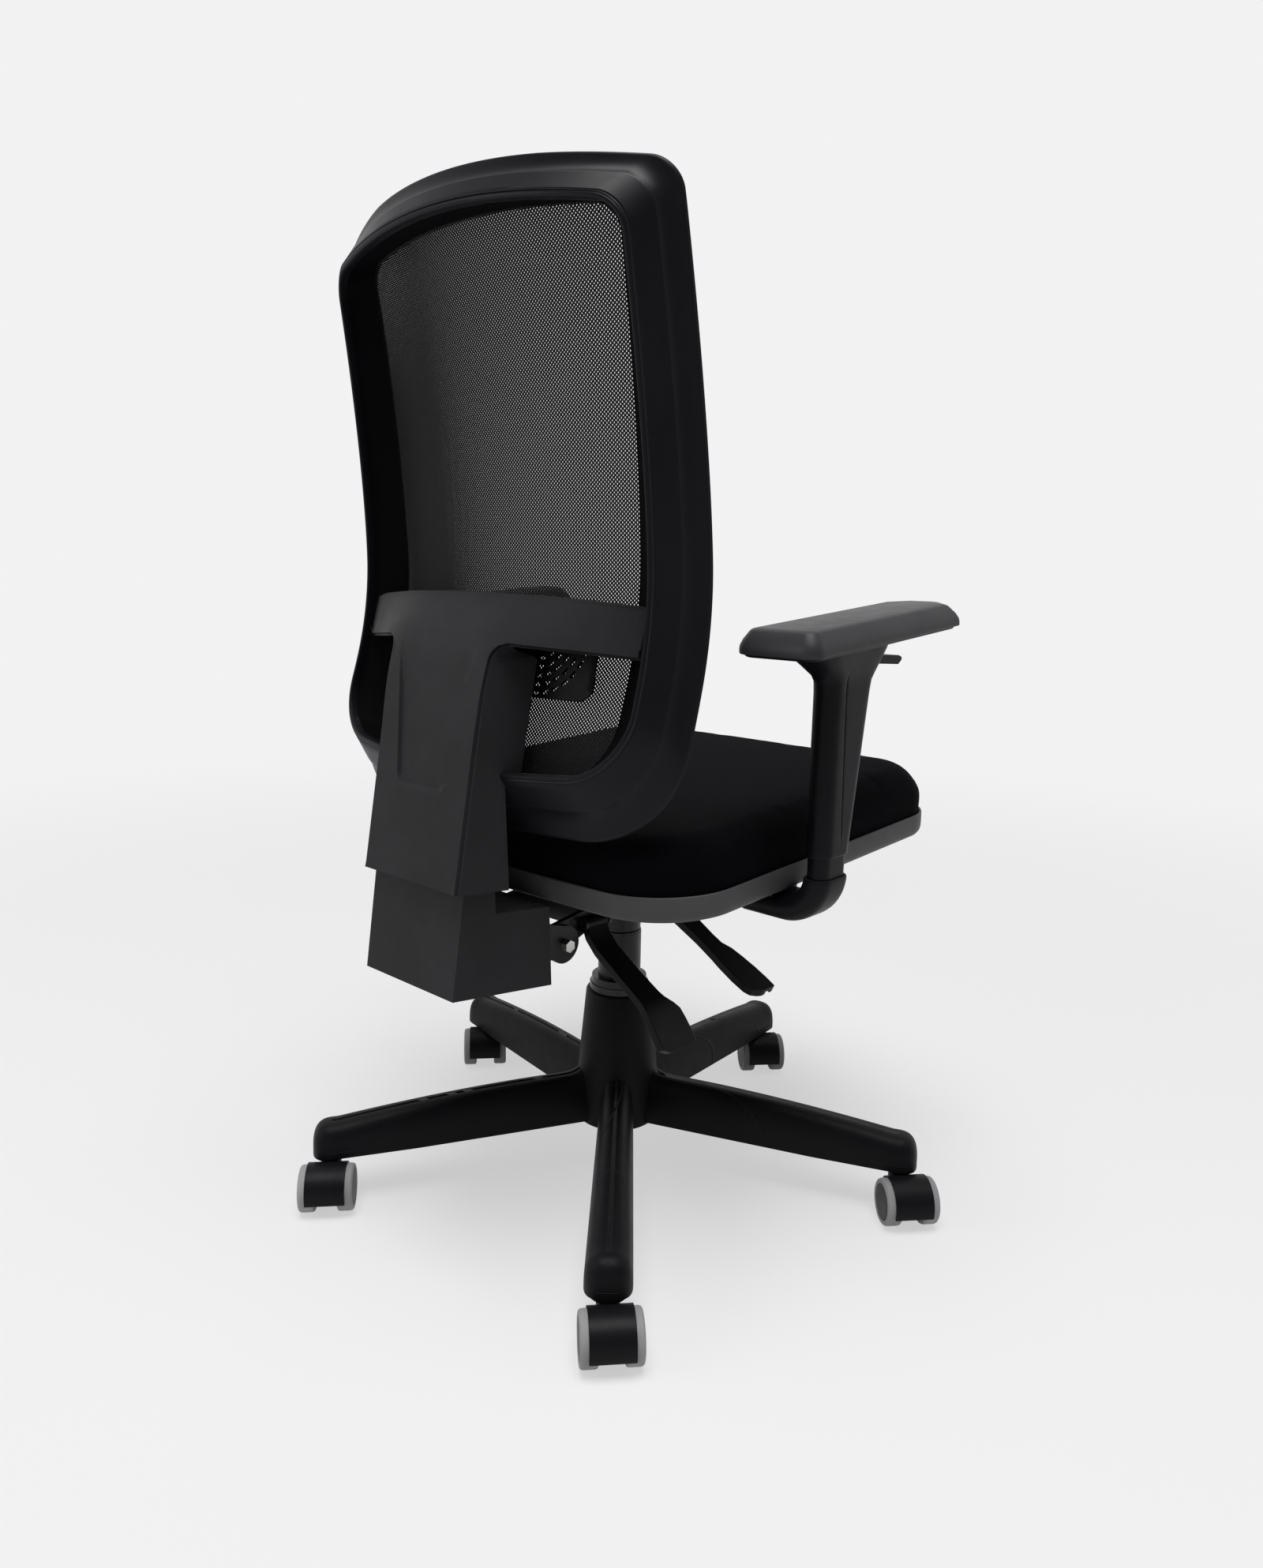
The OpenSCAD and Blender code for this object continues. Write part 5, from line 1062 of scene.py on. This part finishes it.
# %% [markdown]
# ## Arms
# A sleeve slides on each post. Low down it is a narrow stadium; towards the top it widens forward
# and flares under the pad. The section at each height is a stadium, so the sleeve is a loft, with
# its parting groove pressed in along both sides. The pads are soft mouldings with a flat top, long
# bevels and a clipped front.

# %% Arm sleeves
arm_x0, arm_y0, pad_lean = 0.280, 0.008, math.radians(5.1)
# rows of width, front y, rear y, height and slope, in millimetres
sleeve_table = np.array([(26.4, -23.6, 23.6, 430.0, 0), (27.6, -24.4, 24.4, 430.4, 0),
    (28.6, -24.9, 24.9, 431.5, 0), (29, -25, 25, 433, 0), (29, -33.75, 25, 489.5, 0),
    (29, -43.75, 25, 557.5, 0), (29.6, -48.5, 25, 590, 0), (30.5, -50.5, 25.6, 600, 0),
    (34, -54, 29, 606, .02), (41, -60, 41, 615, .05), (50, -66, 55, 626, .08), (54, -68, 62, 631.3, .0892),
    (55, -68, 63, 632.7, .0892)])


def stadium_ends(width, y0, y1, n=18):
    """Two half circles, the ends of a stadium from y0 to y1."""
    r, t = width / 2, np.linspace(0, np.pi, n)
    return (np.stack([r * np.cos(t), y1 - r + r * np.sin(t)], -1),
        np.stack([-r * np.cos(t), y0 + r - r * np.sin(t)], -1))


def sleeve_points(side):
    """Rings up one arm: the table's sizes are filled in between by straight lines, 8 mm apart or less."""
    z = np.unique(np.concatenate([sleeve_table[:, 3], np.arange(437, 600, 8)]))
    rings = []
    for height in z:
        w, y0, y1, slope = (np.interp(height, sleeve_table[:, 3], sleeve_table[:, c]) for c in (0, 1, 2, 4))
        rear, fore = stadium_ends(w, y0, y1)
        line = -2 + 6 * (height - 430) / 170
        flat = np.linspace(y1 - w / 2, y0 + w / 2, 13)[1:-1]
        groove = np.array([line + 1.6, line + 0.7, line, line - 0.7, line - 1.6])
        sides = np.sort(np.concatenate([flat[(flat > line + 3) | (flat < line - 3)], groove]))[::-1][:14]
        sides = np.interp(np.linspace(0, 1, 14), np.linspace(0, 1, len(sides)),
            sides) if len(sides) < 14 else sides
        sunk = 1.0 * np.exp(-((sides - line) / 0.55) ** 2) * (445 < height < 604)
        left = np.stack([-w / 2 + sunk, sides], -1)
        right = np.stack([w / 2 - sunk[::-1], sides[::-1]], -1)
        ring = np.concatenate([rear, left, fore, right])
        rings.append(np.column_stack([ring, height - slope * ring[:, 1]]))
    return (np.array(rings) * MM + [arm_x0, arm_y0, 0]) * [side, 1, 1]


for side, tag in ((1, "l"), (-1, "r")):
    mesh = lofted(f"arm_sleeve_{tag}_loft", sleeve_points(side))
    piece(f"arm_sleeve_{tag}_loft", mesh, arm_black, f"arm_{tag}", f"arm_sleeve_{tag}", crease=38)

# %% Arm pads
def pad_outline(inset):
    """The pad's plan, half width 44.5 mm: rounded rear corners and clipped front ones."""
    hw, y0, y1 = 0.0445 - inset, -0.173 + inset, 0.104 - inset
    r = max(0.0150 - inset * 0.6, 0.004)
    t = np.radians(np.linspace(0, 90, 13))
    rear = np.concatenate([np.stack([hw - r + r * np.cos(t), y1 - r + r * np.sin(t)], -1),
        np.stack([-hw + r - r * np.sin(t), y1 - r + r * np.cos(t)], -1)])
    c, s = 0.017, 0.0025
    clipped = np.array([(0, c + s), (0, c), (0.7 * s, c - 0.7 * s), (c - 0.7 * s, 0.7 * s), (c, 0),
        (c + s, 0)])
    corner = clipped + [-hw, y0]
    front = np.concatenate([corner, corner[::-1] * [-1, 1]])
    down = np.linspace(rear[-1], front[0], 16)[1:-1]
    up = np.linspace(front[-1], rear[0], 16)[1:-1]
    across = np.linspace(front[5], front[6], 8)[1:-1]
    return np.concatenate([rear, down, front[:6], across, front[6:], up])


def on_pad(points, side):
    """Pad coordinates to the chair's: tilted 5.1 degrees, higher at the front."""
    x, y, z = np.moveaxis(points, -1, 0)
    c, s = math.cos(pad_lean), math.sin(pad_lean)
    return np.stack([(x + arm_x0) * side, arm_y0 + y * c + z * s, 0.633 - y * s + z * c], -1)


def pad_ring(inset, height):
    """A ring of the pad at a height."""
    plan = pad_outline(inset)
    return np.column_stack([plan, np.full(len(plan), height)])


# rows of (inset, height)
soft = [(0.0060, 0.0030), (0.0012, 0.0030), (0.0004, 0.0033), (0.0, 0.0040), (0.0, 0.0075),
    (0.0006, 0.0110), (0.0030, 0.0160), (0.0084, 0.0233), (0.0095, 0.0243), (0.0110, 0.0251),
    (0.0135, 0.0257), (0.0150, 0.0260)]
base = [(0.0120, 0.0), (0.0062, 0.0), (0.0052, 0.0005), (0.0044, 0.0012), (0.0040, 0.0022),
    (0.0040, 0.0029), (0.012, 0.0029)]
for side, tag in ((1, "l"), (-1, "r")):
    for name, rows, finish, node in (("arm_pad_soft", soft, pad_skin, "arm_pad"),
            ("arm_pad_plate", base, arm_black, "arm_pad_base")):
        mesh = lofted(f"{name}_{tag}", np.array([on_pad(pad_ring(i, h), side) for i, h in rows]))
        made = piece(f"{name}_{tag}", mesh, finish, f"pad_{tag}", f"{node}_{tag}", crease=50)

# %% [markdown]
# ## Studio
# A plain pale floor under a dim even sky, with one large soft panel overhead and two at the sides.
# The black chair needs the light from above to show its form. The white behind it comes from Light
# Path: rays from the eye see a white backdrop, and rays in gloss see it on the side behind the chair.
# Diffuse rays never meet it, so all that it adds to the chair is what the gloss reflects.

# %% Floor
floor_paint, bsdf, place, add = shader_start("floor_paint")
grain = add("TexNoise", Scale=3, Detail=3, Vector=place)
pale = tinted(add, grain, (1, 1, 1), 0.80, 0.83)
put(bsdf, {"Base Color": pale.outputs["Color"], "Roughness": 0.7, "Specular IOR Level": 0.15})


def seen(add):
    """1 for rays that show the studio, directly or in a gloss or a glass, and 0 for the rest."""
    rays = add("LightPath").outputs
    shown = maths(add, "MAXIMUM", rays["Is Camera Ray"], rays["Is Glossy Ray"])
    return maths(add, "MAXIMUM", shown, rays["Is Transmission Ray"])


backdrop_white = (0.89, 0.89, 0.89, 1)
away = put(add("VectorMath", operation="LENGTH"), {0: place})
share = put(add("MapRange", interpolation_type="SMOOTHSTEP"),
    {"Value": away.outputs["Value"], "From Min": 0.3, "From Max": 3.2, "To Min": 0.62, "To Max": 1.0})
glow = add("Emission", Color=backdrop_white)
mix = put(add("MixShader"), {"Fac": maths(add, "MULTIPLY", share.outputs["Result"], seen(add)),
                             1: bsdf.outputs["BSDF"], 2: glow.outputs["Emission"]})
put(floor_paint.node_tree.nodes["Material Output"], {"Surface": mix.outputs["Shader"]})
floor_mesh = bpy.data.meshes.new("floor")
around = np.linspace(0, 2 * np.pi, 96, endpoint=False)
floor_mesh.from_pydata(np.stack([40 * np.cos(around), 40 * np.sin(around), 0 * around], -1).tolist(), [],
    [list(range(96))])
floor_mesh.materials.append(floor_paint)
floor = bpy.data.objects.new("floor", floor_mesh)
scene.collection.objects.link(floor)
floor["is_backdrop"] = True
print("floor laid")

# %% Light
world = bpy.data.worlds.new("sky")
scene.world = world
world.use_nodes = True
add = adder(world.node_tree)
sky = put(world.node_tree.nodes["Background"], {"Color": (0.98, 0.99, 1.0, 1), "Strength": 0.15})
# The wall behind the chair is white and the room in front of it dim, so a gloss shows white only there
to_wall = (0.67, -0.74, 0.10)
facing = put(add("VectorMath", operation="DOT_PRODUCT"), {0: add("TexCoord").outputs["Generated"],
    1: to_wall})
white = put(add("MapRange"), {"Value": facing.outputs["Value"], "From Min": -0.35, "From Max": 0.35,
                              "To Min": 0.15, "To Max": 1.0})
strength = maths(add, "MAXIMUM", white.outputs["Result"], add("LightPath").outputs["Is Camera Ray"])
backdrop = add("Background", Color=backdrop_white, Strength=strength)
choose = put(add("MixShader"), {"Fac": seen(add), 1: sky.outputs["Background"],
    2: backdrop.outputs["Background"]})
put(world.node_tree.nodes["World Output"], {"Surface": choose.outputs["Shader"]})


def panel(name, place_at, aim, size, watts, colour=(1, 1, 1)):
    """A large square lamp at a place, turned to face its aim."""
    lamp = bpy.data.objects.new(name, bpy.data.lights.new(name, "AREA"))
    lamp.data.shape, lamp.data.size, lamp.data.energy, lamp.data.color = "SQUARE", size, watts, colour
    lamp.location = place_at
    lamp.rotation_euler = (Vector(aim) - Vector(place_at)).to_track_quat("-Z", "Y").to_euler()
    scene.collection.objects.link(lamp)


panel("over", (-0.6, 0.7, 4.3), (0, 0, 0.4), 2.4, 168)
panel("left", (-2.2, -1.4, 1.7), (0, 0, 0.6), 1.4, 6)
panel("right", (1.4, 2.6, 1.5), (0, 0.2, 0.6), 1.4, 18)
scene.view_settings.view_transform = "Standard"

# %% [markdown]
# ## Sizes and finish
# The dressed model should fill the same box as the frame.

# %% Finish
as_lists = lambda corners: [[float(v) for v in corner] for corner in corners]
{"cad": as_lists(cad_box), "visual": as_lists(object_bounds())}
